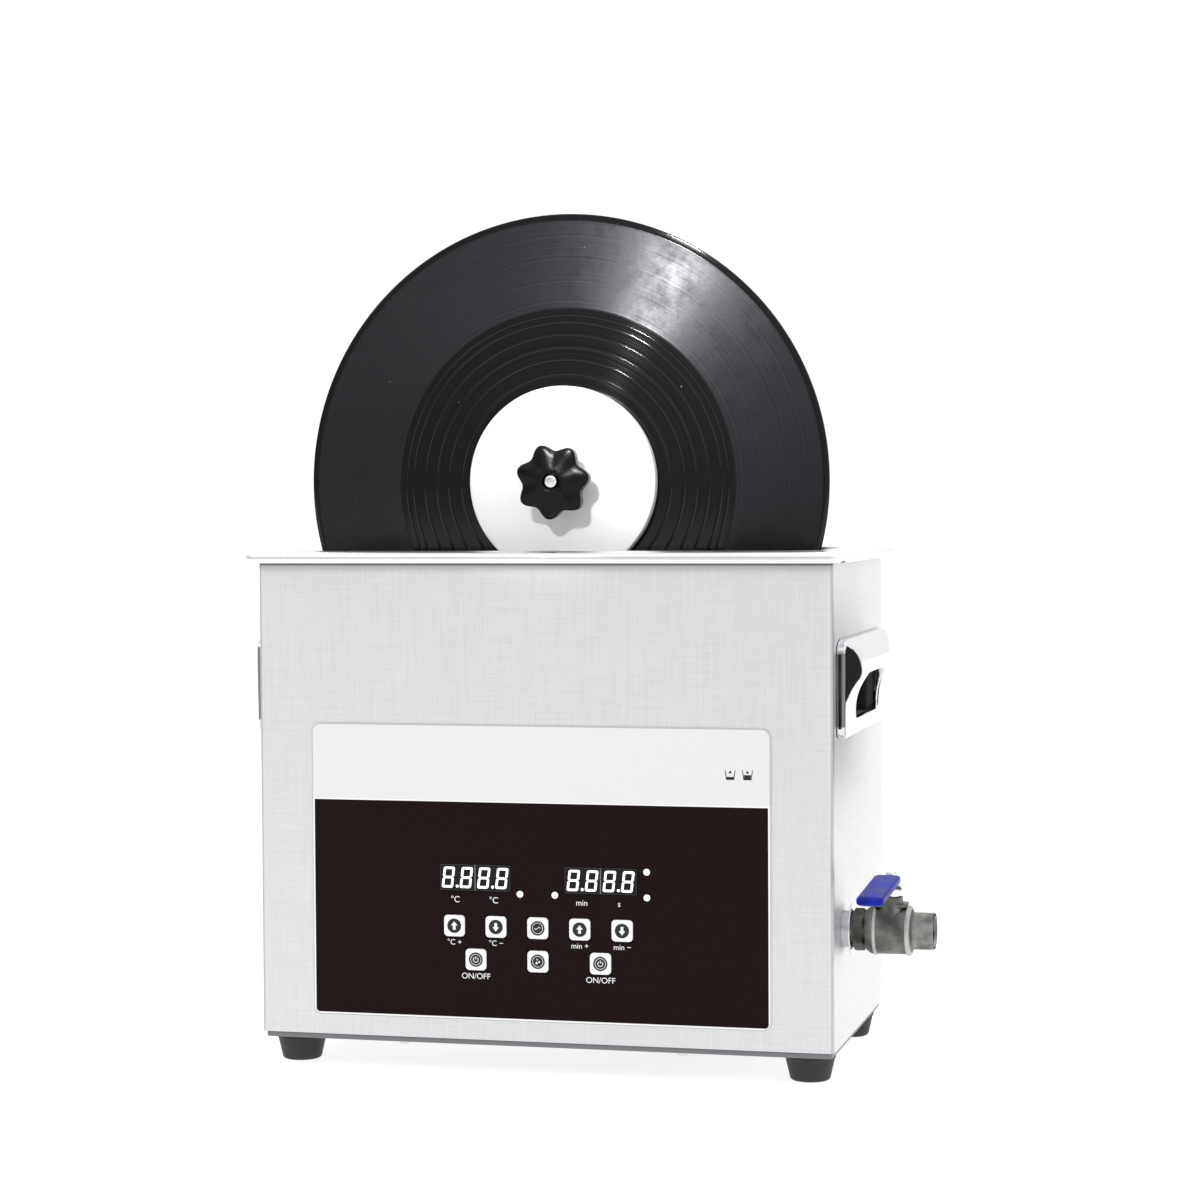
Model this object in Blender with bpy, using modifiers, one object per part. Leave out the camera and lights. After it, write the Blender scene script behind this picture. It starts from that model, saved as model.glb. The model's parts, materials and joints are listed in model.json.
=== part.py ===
"""Ultrasonic bath that washes one vinyl record on edge while a motor rack turns it."""

import math

import bmesh
import bpy
from mathutils import Matrix, Vector

# Lengths are in metres. X runs to the machine's right, Y to its back and Z up from the floor.
# Places are measured from the middle of the casing's footprint unless a name says otherwise.

# Clearances and steps shared by every piece
GAP = 0.0003
OVERRUN = 0.004
TURN_STEPS = 24
FINE_STEPS = 64
CORNER_STEPS = 4
EDGE_STEPS = 2
SMOOTH_ANGLE = math.radians(35)
WELD_DISTANCE = 0.00001
QUARTER = math.pi / 2

# Casing, a folded sheet wrap open above and below
CASING_SHOWN_HEIGHT = 0.263
CASING_WALL = 0.001
CASING_CORNER = 0.003

# Rubber feet
FOOT_HEIGHT = 0.0145
FOOT_TOP_DIAMETER = 0.028
FOOT_BOTTOM_DIAMETER = 0.0215
FOOT_EDGE = 0.0015
FOOT_FROM_SIDE = 0.0165
FOOT_FROM_FRONT = 0.0200
FOOT_HOLE_DIAMETER = 0.009
FOOT_HOLE_DEPTH = 0.006

# Base plate and the two screws at its front edge
BASE_THICKNESS = 0.0029
BASE_INSET = 0.0015
BASE_SLOT_LENGTH = 0.055
BASE_SLOT_WIDTH = 0.004
BASE_SLOT_PITCH = 0.012
BASE_SLOT_COUNT = 5
BASE_SCREW_SPACING = 0.1588
BASE_SCREW_SHIFT = -0.0022
BASE_SCREW_FROM_FRONT = 0.010
BASE_SCREW_SHANK = 0.004
BASE_SCREW_LENGTH = 0.008
BASE_SCREW_HEAD_DIAMETER = 0.0075
BASE_SCREW_CROWN_DIAMETER = 0.0045
BASE_SCREW_HEAD_HEIGHT = 0.0024

# Tank, a pressed bath with a rolled rim over the casing
TANK_LENGTH = 0.300
TANK_BREADTH = 0.150
TANK_DEPTH = 0.150
TANK_WALL = 0.0012
TANK_ROOM = 0.0125
TANK_CORNER = 0.025
TANK_FLOOR_RADIUS = 0.012
RIM_OVERHANG = 0.007
RIM_HEIGHT = 0.0066
RIM_CORNER = 0.008
RIM_EDGE = 0.0025
RIM_LIP = 0.0016
RIM_LIP_EDGE = 0.0005

# Front panel film with its keys and displays
PANEL_WIDTH = 0.260
PANEL_HEIGHT = 0.1632
PANEL_FROM_BOTTOM = 0.011
PANEL_SHIFT = -0.0013
PANEL_CORNER = 0.005
PANEL_THICKNESS = 0.0008
KEY_SIZE = 0.0119
KEY_CORNER = 0.0022
KEY_PROUD = 0.0005
KEY_PAD_DEPTH = 0.003
KEY_POST = 0.004
KEY_TRAVEL = 0.0005
KEY_UPPER_FROM_PANEL = 0.0520
KEY_LOWER_FROM_PANEL = 0.0336
KEY_UPPER_PITCH = 0.0238
KEY_LOWER_PITCH = 0.03535
DISPLAY_WIDTH = 0.0406
DISPLAY_HEIGHT = 0.0146
DISPLAY_SPACING = 0.0712
DISPLAY_FROM_PANEL = 0.0788
WINDOW_MARGIN = 0.004

# Control board behind the panel
BOARD_THICKNESS = 0.0016
BOARD_STANDOFF = 0.006
BOARD_MARGIN = 0.008
BOARD_POST_DIAMETER = 0.006
BOARD_POST_INSET = 0.004
TACT_SIZE = 0.006
TACT_HEIGHT = 0.002

# Side handles, a framed pressing with a hood over the finger opening
HANDLE_LENGTH = 0.155
HANDLE_FROM_BOTTOM = 0.1685
HANDLE_HEIGHT = 0.0505
HANDLE_PROUD = 0.0042
HANDLE_WALL = 0.0012
HANDLE_CORNER = 0.004
HOOD_PROUD = 0.0110
HOOD_CROWN = 0.101
HOOD_RAMP = 0.025
HOOD_RISE = 0.0205
HOOD_STEPS = 8
GRIP_LENGTH = 0.079
GRIP_FROM_FRAME = 0.0085
GRIP_HEIGHT = 0.024
GRIP_CORNER = 0.005
LINER_WALL = 0.001
LINER_MARGIN = 0.002
LINER_HEIGHT = 0.042
LINER_INWARD = 0.009

# Drain: pipe elbow, washer and two-piece ball valve
DRAIN_FROM_FRONT = 0.032
DRAIN_FROM_BOTTOM = 0.063
DRAIN_INLET_FROM_SIDE = 0.0385
PIPE_DIAMETER = 0.020
PIPE_BEND = 0.018
PIPE_BEND_STEPS = 6
PIPE_SIDES = 20
PIPE_BORE = 0.011
PIPE_FLANGE_DIAMETER = 0.029
PIPE_FLANGE_THICKNESS = 0.0016
PIPE_SHOWN = 0.0042
PIPE_THREAD_DIAMETER = 0.0154
PIPE_THREAD_LENGTH = 0.0098
TANK_DRAIN_DIAMETER = 0.012
WASHER_DIAMETER = 0.0285
WASHER_THICKNESS = 0.001
CAP_HEX = 0.0205
CAP_HEX_LENGTH = 0.0064
CAP_COLLAR_LENGTH = 0.0065
CAP_COLLAR_DIAMETER = 0.0262
CAP_NECK_DIAMETER = 0.0215
CAP_SOCKET_DEPTH = 0.0100
VALVE_BODY_LENGTH = 0.031
VALVE_BODY_DIAMETER = 0.0258
VALVE_RIDGE_DIAMETER = 0.0272
VALVE_RIDGE_LENGTH = 0.0014
VALVE_BARREL_SHARE = 0.52
VALVE_PORT_DIAMETER = 0.0205
VALVE_PORT_LENGTH = 0.012
VALVE_THREAD_DIAMETER = 0.0156
VALVE_THREAD_DEPTH = 0.0108
VALVE_WAY = 0.008
CHAMBER_DIAMETER = 0.0148
BALL_DIAMETER = 0.014
BALL_SLOT = 0.0026
TANG_DEPTH = 0.0024
STEM_DIAMETER = 0.006
STEM_TOP = 0.0315
NECK_DIAMETER = 0.0125
NECK_TOP = 0.0185
STOP_PLATE_LENGTH = 0.018
STOP_PLATE_BREADTH = 0.012
STOP_PLATE_THICKNESS = 0.002
PACKING_HEX = 0.0115
PACKING_HEIGHT = 0.0038
LEVER_HUB = 0.0075
LEVER_HUB_WIDTH = 0.0140
LEVER_ARM_WIDTH = 0.0110
LEVER_THICKNESS = 0.0022
LEVER_CRANK_OUT = 0.0125
LEVER_CRANK_RISE = 0.0058
LEVER_LENGTH = 0.0790
LEVER_DROOP = 0.0040
LEVER_NUT_HEX = 0.0095
LEVER_NUT_HEIGHT = 0.0045
SLEEVE_START = 0.0140
SLEEVE_END = 0.0808
SLEEVE_WIDTH = 0.0146
SLEEVE_THICKNESS = 0.0052
SLEEVE_EDGE = 0.0014

# Drivers and heater on the tank
TRANSDUCER_COUNT = 3
TRANSDUCER_PITCH = 0.084
TRANSDUCER_SHIFT = -0.004
HORN_DIAMETER = 0.045
HORN_HEIGHT = 0.026
CRYSTAL_DIAMETER = 0.038
CRYSTAL_HEIGHT = 0.012
BACK_MASS_HEIGHT = 0.014
TRANSDUCER_BOLT_DIAMETER = 0.016
TRANSDUCER_BOLT_HEIGHT = 0.004
CRYSTAL_GROOVE = 0.001
HEATER_LENGTH = 0.220
HEATER_HEIGHT = 0.060
HEATER_THICKNESS = 0.0015
HEATER_FROM_FLOOR = 0.030

# Driver board on the base plate
DRIVER_LENGTH = 0.130
DRIVER_BREADTH = 0.075
DRIVER_X = -0.055
DRIVER_Y = 0.010
DRIVER_STANDOFF = 0.008
DRIVER_POST_DIAMETER = 0.007
DRIVER_POST_INSET = 0.006
HEAT_SINK_LENGTH = 0.060
HEAT_SINK_BREADTH = 0.020
HEAT_SINK_HEIGHT = 0.035
COIL_DIAMETER = 0.026
COIL_HEIGHT = 0.020
RELAY_LENGTH = 0.028
RELAY_BREADTH = 0.012
RELAY_HEIGHT = 0.018

# Cooling fan on the rear wall
FAN_SIZE = 0.060
FAN_DEPTH = 0.015
FAN_CORNER = 0.004
FAN_BORE = 0.056
FAN_FROM_SIDE = 0.0775
FAN_Z = 0.056
FAN_HUB_DIAMETER = 0.024
FAN_HUB_DEPTH = 0.003
FAN_STRUT = 0.0035
FAN_SHAFT_DIAMETER = 0.003
ROTOR_HUB_DIAMETER = 0.022
ROTOR_DEPTH = 0.0085
ROTOR_DIAMETER = 0.054
BLADE_COUNT = 7
BLADE_THICKNESS = 0.0012
BLADE_CHORD = 0.0085
BLADE_TWIST = math.radians(38)
BLADE_SINK = 0.0016
VENT_WIDTH = 0.044
VENT_HEIGHT = 0.0032
VENT_PITCH = 0.0062
VENT_COUNT = 7

# Mains socket and switch on the rear wall
INLET_FROM_SIDE = 0.0575
INLET_Z = 0.052
INLET_FLANGE_WIDTH = 0.048
INLET_FLANGE_HEIGHT = 0.0235
INLET_FLANGE_DEPTH = 0.0025
INLET_BODY_WIDTH = 0.0275
INLET_BODY_HEIGHT = 0.0200
INLET_BODY_DEPTH = 0.020
INLET_CORNER = 0.004
INLET_WALL = 0.0016
INLET_SOCKET_DEPTH = 0.016
PIN_WIDTH = 0.002
PIN_HEIGHT = 0.004
PIN_LENGTH = 0.011
PIN_PITCH = 0.007
PIN_RISE = 0.002
SWITCH_FROM_INLET = 0.043
SWITCH_Z = 0.052
SWITCH_WIDTH = 0.015
SWITCH_HEIGHT = 0.021
SWITCH_BEZEL = 0.0018
SWITCH_BODY_MARGIN = 0.0011
SWITCH_BODY_DEPTH = 0.013
SWITCH_CAVITY_WIDTH = 0.0108
SWITCH_CAVITY_HEIGHT = 0.0168
SWITCH_CAVITY_DEPTH = 0.0110
ROCKER_PIVOT_DEPTH = 0.0012
ROCKER_HALF_LENGTH = 0.0073
ROCKER_HORN = 0.0043
ROCKER_WAIST = 0.0029
ROCKER_BACK = 0.0050
ROCKER_TILT = math.radians(9)

# Record and the discs that clamp it
RECORD_DIAMETER = 0.3016
RECORD_THICKNESS = 0.0020
RECORD_GROOVE_SINK = 0.0003
RECORD_BEAD = 0.0030
RECORD_LABEL_DIAMETER = 0.1000
RECORD_FROM_FRONT = 0.060
RECORD_ABOVE_RIM = 0.0380
DISC_DIAMETER = 0.1078
DISC_THICKNESS = 0.0075
DISC_EDGE = 0.0010
SEAL_DIAMETER = 0.1000
SEAL_WIDTH = 0.0060
SEAL_THICKNESS = 0.0009

# Spindle, clamp washer and star knob
SPINDLE_DIAMETER = 0.0070
SPINDLE_SHOWN = 0.0010
SPINDLE_SHOULDER_DIAMETER = 0.0120
SPINDLE_JOURNAL_DIAMETER = 0.0060
SPINDLE_IN_MOTOR = 0.0110
CLAMP_WASHER_DIAMETER = 0.018
CLAMP_WASHER_THICKNESS = 0.0012
KNOB_DIAMETER = 0.0435
KNOB_LOBES = 7
KNOB_LOBE_DEPTH = 0.0020
KNOB_LOBE_STEPS = 8
KNOB_TURN = math.radians(-20)
KNOB_THICKNESS = 0.0115
KNOB_EDGE = 0.0018
KNOB_HUB_DIAMETER = 0.020
KNOB_HUB_LENGTH = 0.0105

# Rack that straddles the rear rim
SADDLE_WIDTH = 0.110
SADDLE_THICKNESS = 0.0025
SADDLE_JAW_DROP = 0.033
SADDLE_ARM_CLEARANCE = 0.0075
SADDLE_ARM_DROP = 0.018
THUMB_SPACING = 0.080
THUMB_SHANK_DIAMETER = 0.005
THUMB_HEAD_DIAMETER = 0.016
THUMB_HEAD_LENGTH = 0.008
THUMB_HEAD_STANDOFF = 0.003
PLATE_WIDTH = 0.072
PLATE_THICKNESS = 0.003
PLATE_FROM_JAW = 0.0103
PLATE_FOOT_REACH = 0.019
PLATE_ABOVE_AXIS = 0.031
PLATE_CORNER = 0.008
BUSH_DIAMETER = 0.012
BUSH_FLANGE_DIAMETER = 0.017
BUSH_FLANGE_THICKNESS = 0.0015
GEARBOX_DIAMETER = 0.037
GEARBOX_LENGTH = 0.022
MOTOR_DIAMETER = 0.033
MOTOR_LENGTH = 0.028
MOTOR_EDGE = 0.001
COVER_WIDTH = 0.056
COVER_ABOVE_AXIS = 0.028
COVER_DEPTH = 0.0575
COVER_WALL = 0.0016
COVER_CORNER = 0.006
COVER_SOCKET_DIAMETER = 0.009
COVER_SOCKET_RISE = 0.0225

# Heights worked out from the sizes above
BASE_BOTTOM = FOOT_HEIGHT + GAP
BASE_TOP = BASE_BOTTOM + BASE_THICKNESS
CASING_BOTTOM = BASE_TOP + GAP
RIM_BOTTOM = CASING_BOTTOM + CASING_SHOWN_HEIGHT
RIM_TOP = RIM_BOTTOM + RIM_HEIGHT
CASING_TOP = RIM_TOP - TANK_WALL - GAP
TANK_FLOOR = RIM_TOP - TANK_DEPTH
TANK_BOTTOM = TANK_FLOOR - TANK_WALL
PANEL_LOW = CASING_BOTTOM + PANEL_FROM_BOTTOM
KEY_UPPER = PANEL_LOW + KEY_UPPER_FROM_PANEL
KEY_LOWER = PANEL_LOW + KEY_LOWER_FROM_PANEL
DISPLAY_LEVEL = PANEL_LOW + DISPLAY_FROM_PANEL
HANDLE_LOW = CASING_BOTTOM + HANDLE_FROM_BOTTOM
GRIP_LOW = HANDLE_LOW + GRIP_FROM_FRAME
LIP_LEVEL = GRIP_LOW + GRIP_HEIGHT
DRAIN_Z = CASING_BOTTOM + DRAIN_FROM_BOTTOM
RECORD_Z = RIM_TOP + RECORD_ABOVE_RIM

# Widths and depths worked out from the sizes above
CASING_WIDTH = TANK_LENGTH + 2 * TANK_ROOM
CASING_DEPTH = TANK_BREADTH + 2 * TANK_ROOM
FRONT = -CASING_DEPTH / 2
REAR = CASING_DEPTH / 2
SIDE = CASING_WIDTH / 2
DRAIN_INLET_X = SIDE - DRAIN_INLET_FROM_SIDE
FAN_X = SIDE - FAN_FROM_SIDE
INLET_X = INLET_FROM_SIDE - SIDE
SWITCH_X = INLET_X + SWITCH_FROM_INLET
FILM_BACK = FRONT - GAP
FILM_FRONT = FILM_BACK - PANEL_THICKNESS
KEY_FRONT = FILM_FRONT - KEY_PROUD
BOARD_FRONT = FRONT + CASING_WALL + BOARD_STANDOFF
BOARD_BACK = BOARD_FRONT + BOARD_THICKNESS
KEY_LENGTH = BOARD_FRONT - TACT_HEIGHT - KEY_TRAVEL - GAP - KEY_FRONT
DRAIN_Y = FRONT + DRAIN_FROM_FRONT
RECORD_FRONT = FRONT + RECORD_FROM_FRONT
RECORD_BACK = RECORD_FRONT + RECORD_THICKNESS
FRONT_SEAL_BACK = RECORD_FRONT - GAP
FRONT_DISC_BACK = FRONT_SEAL_BACK - SEAL_THICKNESS - GAP
FRONT_DISC_FRONT = FRONT_DISC_BACK - DISC_THICKNESS
CLAMP_WASHER_BACK = FRONT_DISC_FRONT - GAP
KNOB_BACK = CLAMP_WASHER_BACK - CLAMP_WASHER_THICKNESS - GAP
KNOB_STAR_BACK = KNOB_BACK - KNOB_HUB_LENGTH
KNOB_FRONT = KNOB_STAR_BACK - KNOB_THICKNESS
REAR_SEAL_FRONT = RECORD_BACK + GAP
REAR_DISC_FRONT = REAR_SEAL_FRONT + SEAL_THICKNESS + GAP
REAR_DISC_BACK = REAR_DISC_FRONT + DISC_THICKNESS
JAW_BACK = TANK_BREADTH / 2 - GAP
JAW_FRONT = JAW_BACK - SADDLE_THICKNESS
ARM_FRONT = REAR + RIM_OVERHANG + SADDLE_ARM_CLEARANCE
ARM_BACK = ARM_FRONT + SADDLE_THICKNESS
PLATE_FRONT = JAW_BACK + PLATE_FROM_JAW
PLATE_BACK = PLATE_FRONT + PLATE_THICKNESS
SADDLE_LOW = RIM_TOP + GAP
SADDLE_TOP = SADDLE_LOW + SADDLE_THICKNESS
PLATE_LOW = SADDLE_TOP + GAP
PLATE_FOOT_TOP = PLATE_LOW + PLATE_THICKNESS
COVER_FRONT = PLATE_BACK + GAP
COVER_BACK = COVER_FRONT + COVER_DEPTH
COVER_LOW = PLATE_FOOT_TOP + GAP

# Stations of the valve along its pipe, outward from the casing wall
WASHER_AT = PIPE_SHOWN + GAP
CAP_AT = WASHER_AT + WASHER_THICKNESS + GAP
CAP_COLLAR_AT = CAP_AT + CAP_HEX_LENGTH
CAP_END = CAP_COLLAR_AT + CAP_COLLAR_LENGTH
BODY_AT = CAP_END + GAP
BODY_END = BODY_AT + VALVE_BODY_LENGTH
PORT_AT = BODY_END - VALVE_PORT_LENGTH
BALL_AT = BODY_AT + GAP + BALL_DIAMETER / 2
STEM_X = SIDE + BALL_AT
LEVER_LEVEL = NECK_TOP + GAP + PACKING_HEIGHT + GAP + LEVER_THICKNESS / 2
LEVER_NUT_AT = LEVER_LEVEL + LEVER_THICKNESS / 2 + GAP

# Reach of the whole machine, which sets where the middle of its box lies
REACH_RIGHT = SIDE + BODY_END
REACH_LEFT = SIDE + GAP + HOOD_PROUD
REACH_FRONT = SLEEVE_END - DRAIN_Y
REACH_BACK = COVER_BACK
ORIGIN_SHIFT = ((REACH_LEFT - REACH_RIGHT) / 2, (REACH_FRONT - REACH_BACK) / 2, 0.0)

# Colour, metallic and roughness of each finish
FINISHES = {
    "brushed_stainless": ("DCDCDE", 1.0, 0.38),
    "polished_stainless": ("E4E4E6", 1.0, 0.18),
    "cast_stainless": ("8A8A86", 1.0, 0.42),
    "black_steel": ("2A2A2C", 0.6, 0.45),
    "black_rubber": ("2E2E30", 0.0, 0.80),
    "printed_film": ("231815", 0.0, 0.30),
    "key_film": ("F2F2F2", 0.0, 0.35),
    "display_lens": ("101012", 0.0, 0.15),
    "black_plastic": ("161618", 0.0, 0.40),
    "glossy_black_plastic": ("0C0C0E", 0.0, 0.12),
    "white_acetal": ("F4F4F2", 0.0, 0.35),
    "vinyl": ("17171A", 0.0, 0.25),
    "blue_vinyl_sleeve": ("2A3FB4", 0.0, 0.35),
    "circuit_board": ("1E5B34", 0.0, 0.50),
    "aluminium": ("B9BBBE", 1.0, 0.40),
    "silicone_mat": ("C2542B", 0.0, 0.70),
    "bronze": ("A9783F", 1.0, 0.35),
}


def clear_scene():
    """Remove whatever the scene holds."""
    for obj in list(bpy.data.objects):
        bpy.data.objects.remove(obj)


def linear(channel):
    """Turn one sRGB channel of 0 to 1 to linear light."""
    if channel <= 0.04045:
        return channel / 12.92
    return ((channel + 0.055) / 1.055) ** 2.4


def make_finishes():
    """Make one Principled material for each finish."""
    for name, (colour, metallic, roughness) in FINISHES.items():
        material = bpy.data.materials.new(name)
        material.use_nodes = True
        shader = material.node_tree.nodes["Principled BSDF"]
        channels = [linear(int(colour[i : i + 2], 16) / 255) for i in (0, 2, 4)]
        shader.inputs["Base Color"].default_value = (*channels, 1.0)
        shader.inputs["Metallic"].default_value = metallic
        shader.inputs["Roughness"].default_value = roughness


def make_collections():
    """Make the parts' collection, the cutters' collection and the machine's origin."""
    for name in ("record_cleaning_machine", "cutters"):
        bpy.context.scene.collection.children.link(bpy.data.collections.new(name))
    origin = bpy.data.objects.new("machine_origin", None)
    origin.location = ORIGIN_SHIFT
    bpy.data.collections["record_cleaning_machine"].objects.link(origin)


def add_object(name, data):
    """Add an object to the machine, placed from the machine's origin."""
    obj = bpy.data.objects.new(name, data)
    bpy.data.collections["record_cleaning_machine"].objects.link(obj)
    obj.parent = bpy.data.objects["machine_origin"]
    return obj


def add_mesh(name, bm):
    """Turn a bmesh into an object of the machine."""
    bmesh.ops.recalc_face_normals(bm, faces=bm.faces)
    mesh = bpy.data.meshes.new(name)
    bm.to_mesh(mesh)
    bm.free()
    return add_object(name, mesh)


def paint(obj, finish):
    """Give an object its finish and smooth its round faces."""
    obj.data.materials.clear()
    obj.data.materials.append(bpy.data.materials[finish])
    if len(obj.data.polygons):
        obj.data.shade_smooth()
        obj.data.set_sharp_from_angle(angle=SMOOTH_ANGLE)
    return obj


def as_tool(obj):
    """Move an object to the cutters, out of the render."""
    bpy.data.collections["record_cleaning_machine"].objects.unlink(obj)
    bpy.data.collections["cutters"].objects.link(obj)
    obj.hide_render = True
    obj.display_type = "WIRE"


def boolean(target, tool, operation):
    """Put a live Boolean of the tool on the target."""
    modifier = target.modifiers.new(tool.name, "BOOLEAN")
    modifier.operation = operation
    modifier.object = tool
    modifier.solver = "EXACT"
    as_tool(tool)


def cut(target, tool):
    """Take the tool's shape out of the target."""
    boolean(target, tool, "DIFFERENCE")


def join(target, tool):
    """Fuse the tool's shape to the target."""
    boolean(target, tool, "UNION")


def pivot(obj, point):
    """Put an object's origin at a point, with its shape left where it is."""
    obj.data.transform(Matrix.Translation(-Vector(point)))
    obj.location = point


def baked(obj):
    """Return an object's finished mesh, and remove the object."""
    graph = bpy.context.evaluated_depsgraph_get()
    mesh = bpy.data.meshes.new_from_object(obj.evaluated_get(graph))
    mesh.name = obj.name
    bpy.data.objects.remove(obj)
    return mesh


def round_edges(bm, radius, steps, wanted):
    """Round the edges that wanted picks."""
    edges = [edge for edge in bm.edges if wanted(edge)]
    bmesh.ops.bevel(bm, geom=edges, offset=radius, segments=steps, profile=0.5, affect="EDGES")


def fill_box(bm, low, high):
    """Add a box between two corners to a bmesh."""
    low, high = Vector(low), Vector(high)
    size = Matrix.Diagonal((*(high - low), 1.0))
    made = bmesh.ops.create_cube(bm, size=1.0, matrix=Matrix.Translation((low + high) / 2) @ size)
    return made["verts"]


def box(name, low, high, corner=0.0, along=2, top=0.0, bottom=0.0):
    """A box whose four edges along one axis are rounded, then its top and bottom rims."""
    bm = bmesh.new()
    fill_box(bm, low, high)
    if corner:
        round_edges(bm, corner, CORNER_STEPS, lambda edge: edge_runs(edge, along))
    for radius, level in ((top, high[along]), (bottom, low[along])):
        if radius:
            round_edges(bm, radius, EDGE_STEPS, lambda edge: edge_lies(edge, along, level))
    return add_mesh(name, bm)


def edge_runs(edge, along):
    """Whether an edge runs along an axis."""
    run = (edge.verts[1].co - edge.verts[0].co).normalized()
    return abs(run[along]) > math.cos(SMOOTH_ANGLE)


def edge_lies(edge, along, level):
    """Whether an edge lies at a level of an axis and borders the face there."""
    return all(abs(vert.co[along] - level) < WELD_DISTANCE for vert in edge.verts)


def boxes(name, corners):
    """Several separate boxes in one mesh, for use as one tool."""
    bm = bmesh.new()
    for low, high in corners:
        fill_box(bm, low, high)
    return add_mesh(name, bm)


def fill_rod(bm, start, end, radius, end_radius, sides):
    """Add a rod or cone between two points to a bmesh."""
    start, end = Vector(start), Vector(end)
    run = end - start
    turn = run.to_track_quat("Z", "Y").to_matrix().to_4x4()
    bmesh.ops.create_cone(
        bm,
        cap_ends=True,
        segments=sides,
        radius1=radius,
        radius2=end_radius,
        depth=run.length,
        matrix=Matrix.Translation((start + end) / 2) @ turn,
    )


def rod(name, start, end, radius, end_radius=None, sides=TURN_STEPS):
    """A round or many-sided rod between two points."""
    bm = bmesh.new()
    fill_rod(bm, start, end, radius, radius if end_radius is None else end_radius, sides)
    return add_mesh(name, bm)


def rods(name, ends, radius, sides=TURN_STEPS):
    """Several separate rods in one mesh, for use as one tool."""
    bm = bmesh.new()
    for start, end in ends:
        fill_rod(bm, start, end, radius, radius, sides)
    return add_mesh(name, bm)


def hexagon(name, start, end, across_flats):
    """A six-sided bar between two points."""
    return rod(name, start, end, across_flats / math.sqrt(3), sides=6)


def twice_area(profile):
    """Twice the signed area inside a closed run of points."""
    following = profile[1:] + profile[:1]
    return sum(a[0] * b[1] - b[0] * a[1] for a, b in zip(profile, following))


AXIS_TURNS = {"X": (0.0, QUARTER, 0.0), "Y": (-QUARTER, 0.0, 0.0), "Z": (0.0, 0.0, 0.0)}


def turned(name, profile, base, axis, ring=False, steps=TURN_STEPS):
    """A profile of (radius, distance along the axis) points, turned round the axis."""
    if twice_area(profile) > 0:
        profile = profile[::-1]
    bm = bmesh.new()
    verts = [bm.verts.new((radius, 0.0, along)) for radius, along in profile]
    for first, second in zip(verts, verts[1:]):
        bm.edges.new((first, second))
    if ring:
        bm.edges.new((verts[-1], verts[0]))
    mesh = bpy.data.meshes.new(name)
    bm.to_mesh(mesh)
    bm.free()
    obj = add_object(name, mesh)
    obj.location = base
    obj.rotation_euler = AXIS_TURNS[axis]
    screw = obj.modifiers.new("turn", "SCREW")
    screw.steps = screw.render_steps = steps
    screw.use_merge_vertices = True
    screw.merge_threshold = WELD_DISTANCE
    screw.use_smooth_shade = True
    return obj


def ring(name, inner_radius, outer_radius, low, high, base, axis, steps=TURN_STEPS):
    """A plain ring between two stations of an axis."""
    profile = [(outer_radius, high), (outer_radius, low), (inner_radius, low), (inner_radius, high)]
    return turned(name, profile, base, axis, ring=True, steps=steps)


AXES = "XYZ"
PLANES = {
    "XY": Matrix.Identity(4),
    "XZ": Matrix(((1, 0, 0, 0), (0, 0, -1, 0), (0, 1, 0, 0), (0, 0, 0, 1))),
    "YZ": Matrix(((0, 0, 1, 0), (1, 0, 0, 0), (0, 1, 0, 0), (0, 0, 0, 1))),
}


def plate(name, points, low, high, plane):
    """A flat outline drawn in a plane and extruded between two levels across it."""
    curve = bpy.data.curves.new(name, "CURVE")
    curve.dimensions = "2D"
    curve.fill_mode = "BOTH"
    curve.extrude = (high - low) / 2
    spline = curve.splines.new("POLY")
    spline.points.add(len(points) - 1)
    for point, (across, up) in zip(spline.points, points):
        point.co = (across, up, 0.0, 1.0)
    spline.use_cyclic_u = True
    middle = (high + low) / 2
    shift = Vector([0.0 if axis in plane else middle for axis in AXES])
    return from_curve(name, curve, Matrix.Translation(shift) @ PLANES[plane])


def from_curve(name, curve, placing):
    """Turn a curve into a welded mesh object, placed by a matrix."""
    guide = bpy.data.objects.new(name + "_guide", curve)
    bpy.context.scene.collection.objects.link(guide)
    mesh = baked(guide)
    bm = bmesh.new()
    bm.from_mesh(mesh)
    bpy.data.meshes.remove(mesh)
    bm.transform(placing)
    bmesh.ops.remove_doubles(bm, verts=bm.verts, dist=WELD_DISTANCE)
    return add_mesh(name, bm)


def tube(name, points, radius, bevel_steps):
    """A round tube along points, with flat ends."""
    curve = bpy.data.curves.new(name, "CURVE")
    curve.dimensions = "3D"
    curve.bevel_depth = radius
    curve.bevel_resolution = bevel_steps
    curve.use_fill_caps = True
    spline = curve.splines.new("POLY")
    spline.points.add(len(points) - 1)
    for point, place in zip(spline.points, points):
        point.co = (*place, 1.0)
    return from_curve(name, curve, Matrix.Identity(4))


def bevel(obj, width, steps=EDGE_STEPS):
    """Round every sharp edge of an object."""
    modifier = obj.modifiers.new("rounding", "BEVEL")
    modifier.width = width
    modifier.segments = steps
    modifier.limit_method = "ANGLE"
    modifier.angle_limit = SMOOTH_ANGLE
    return obj


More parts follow.
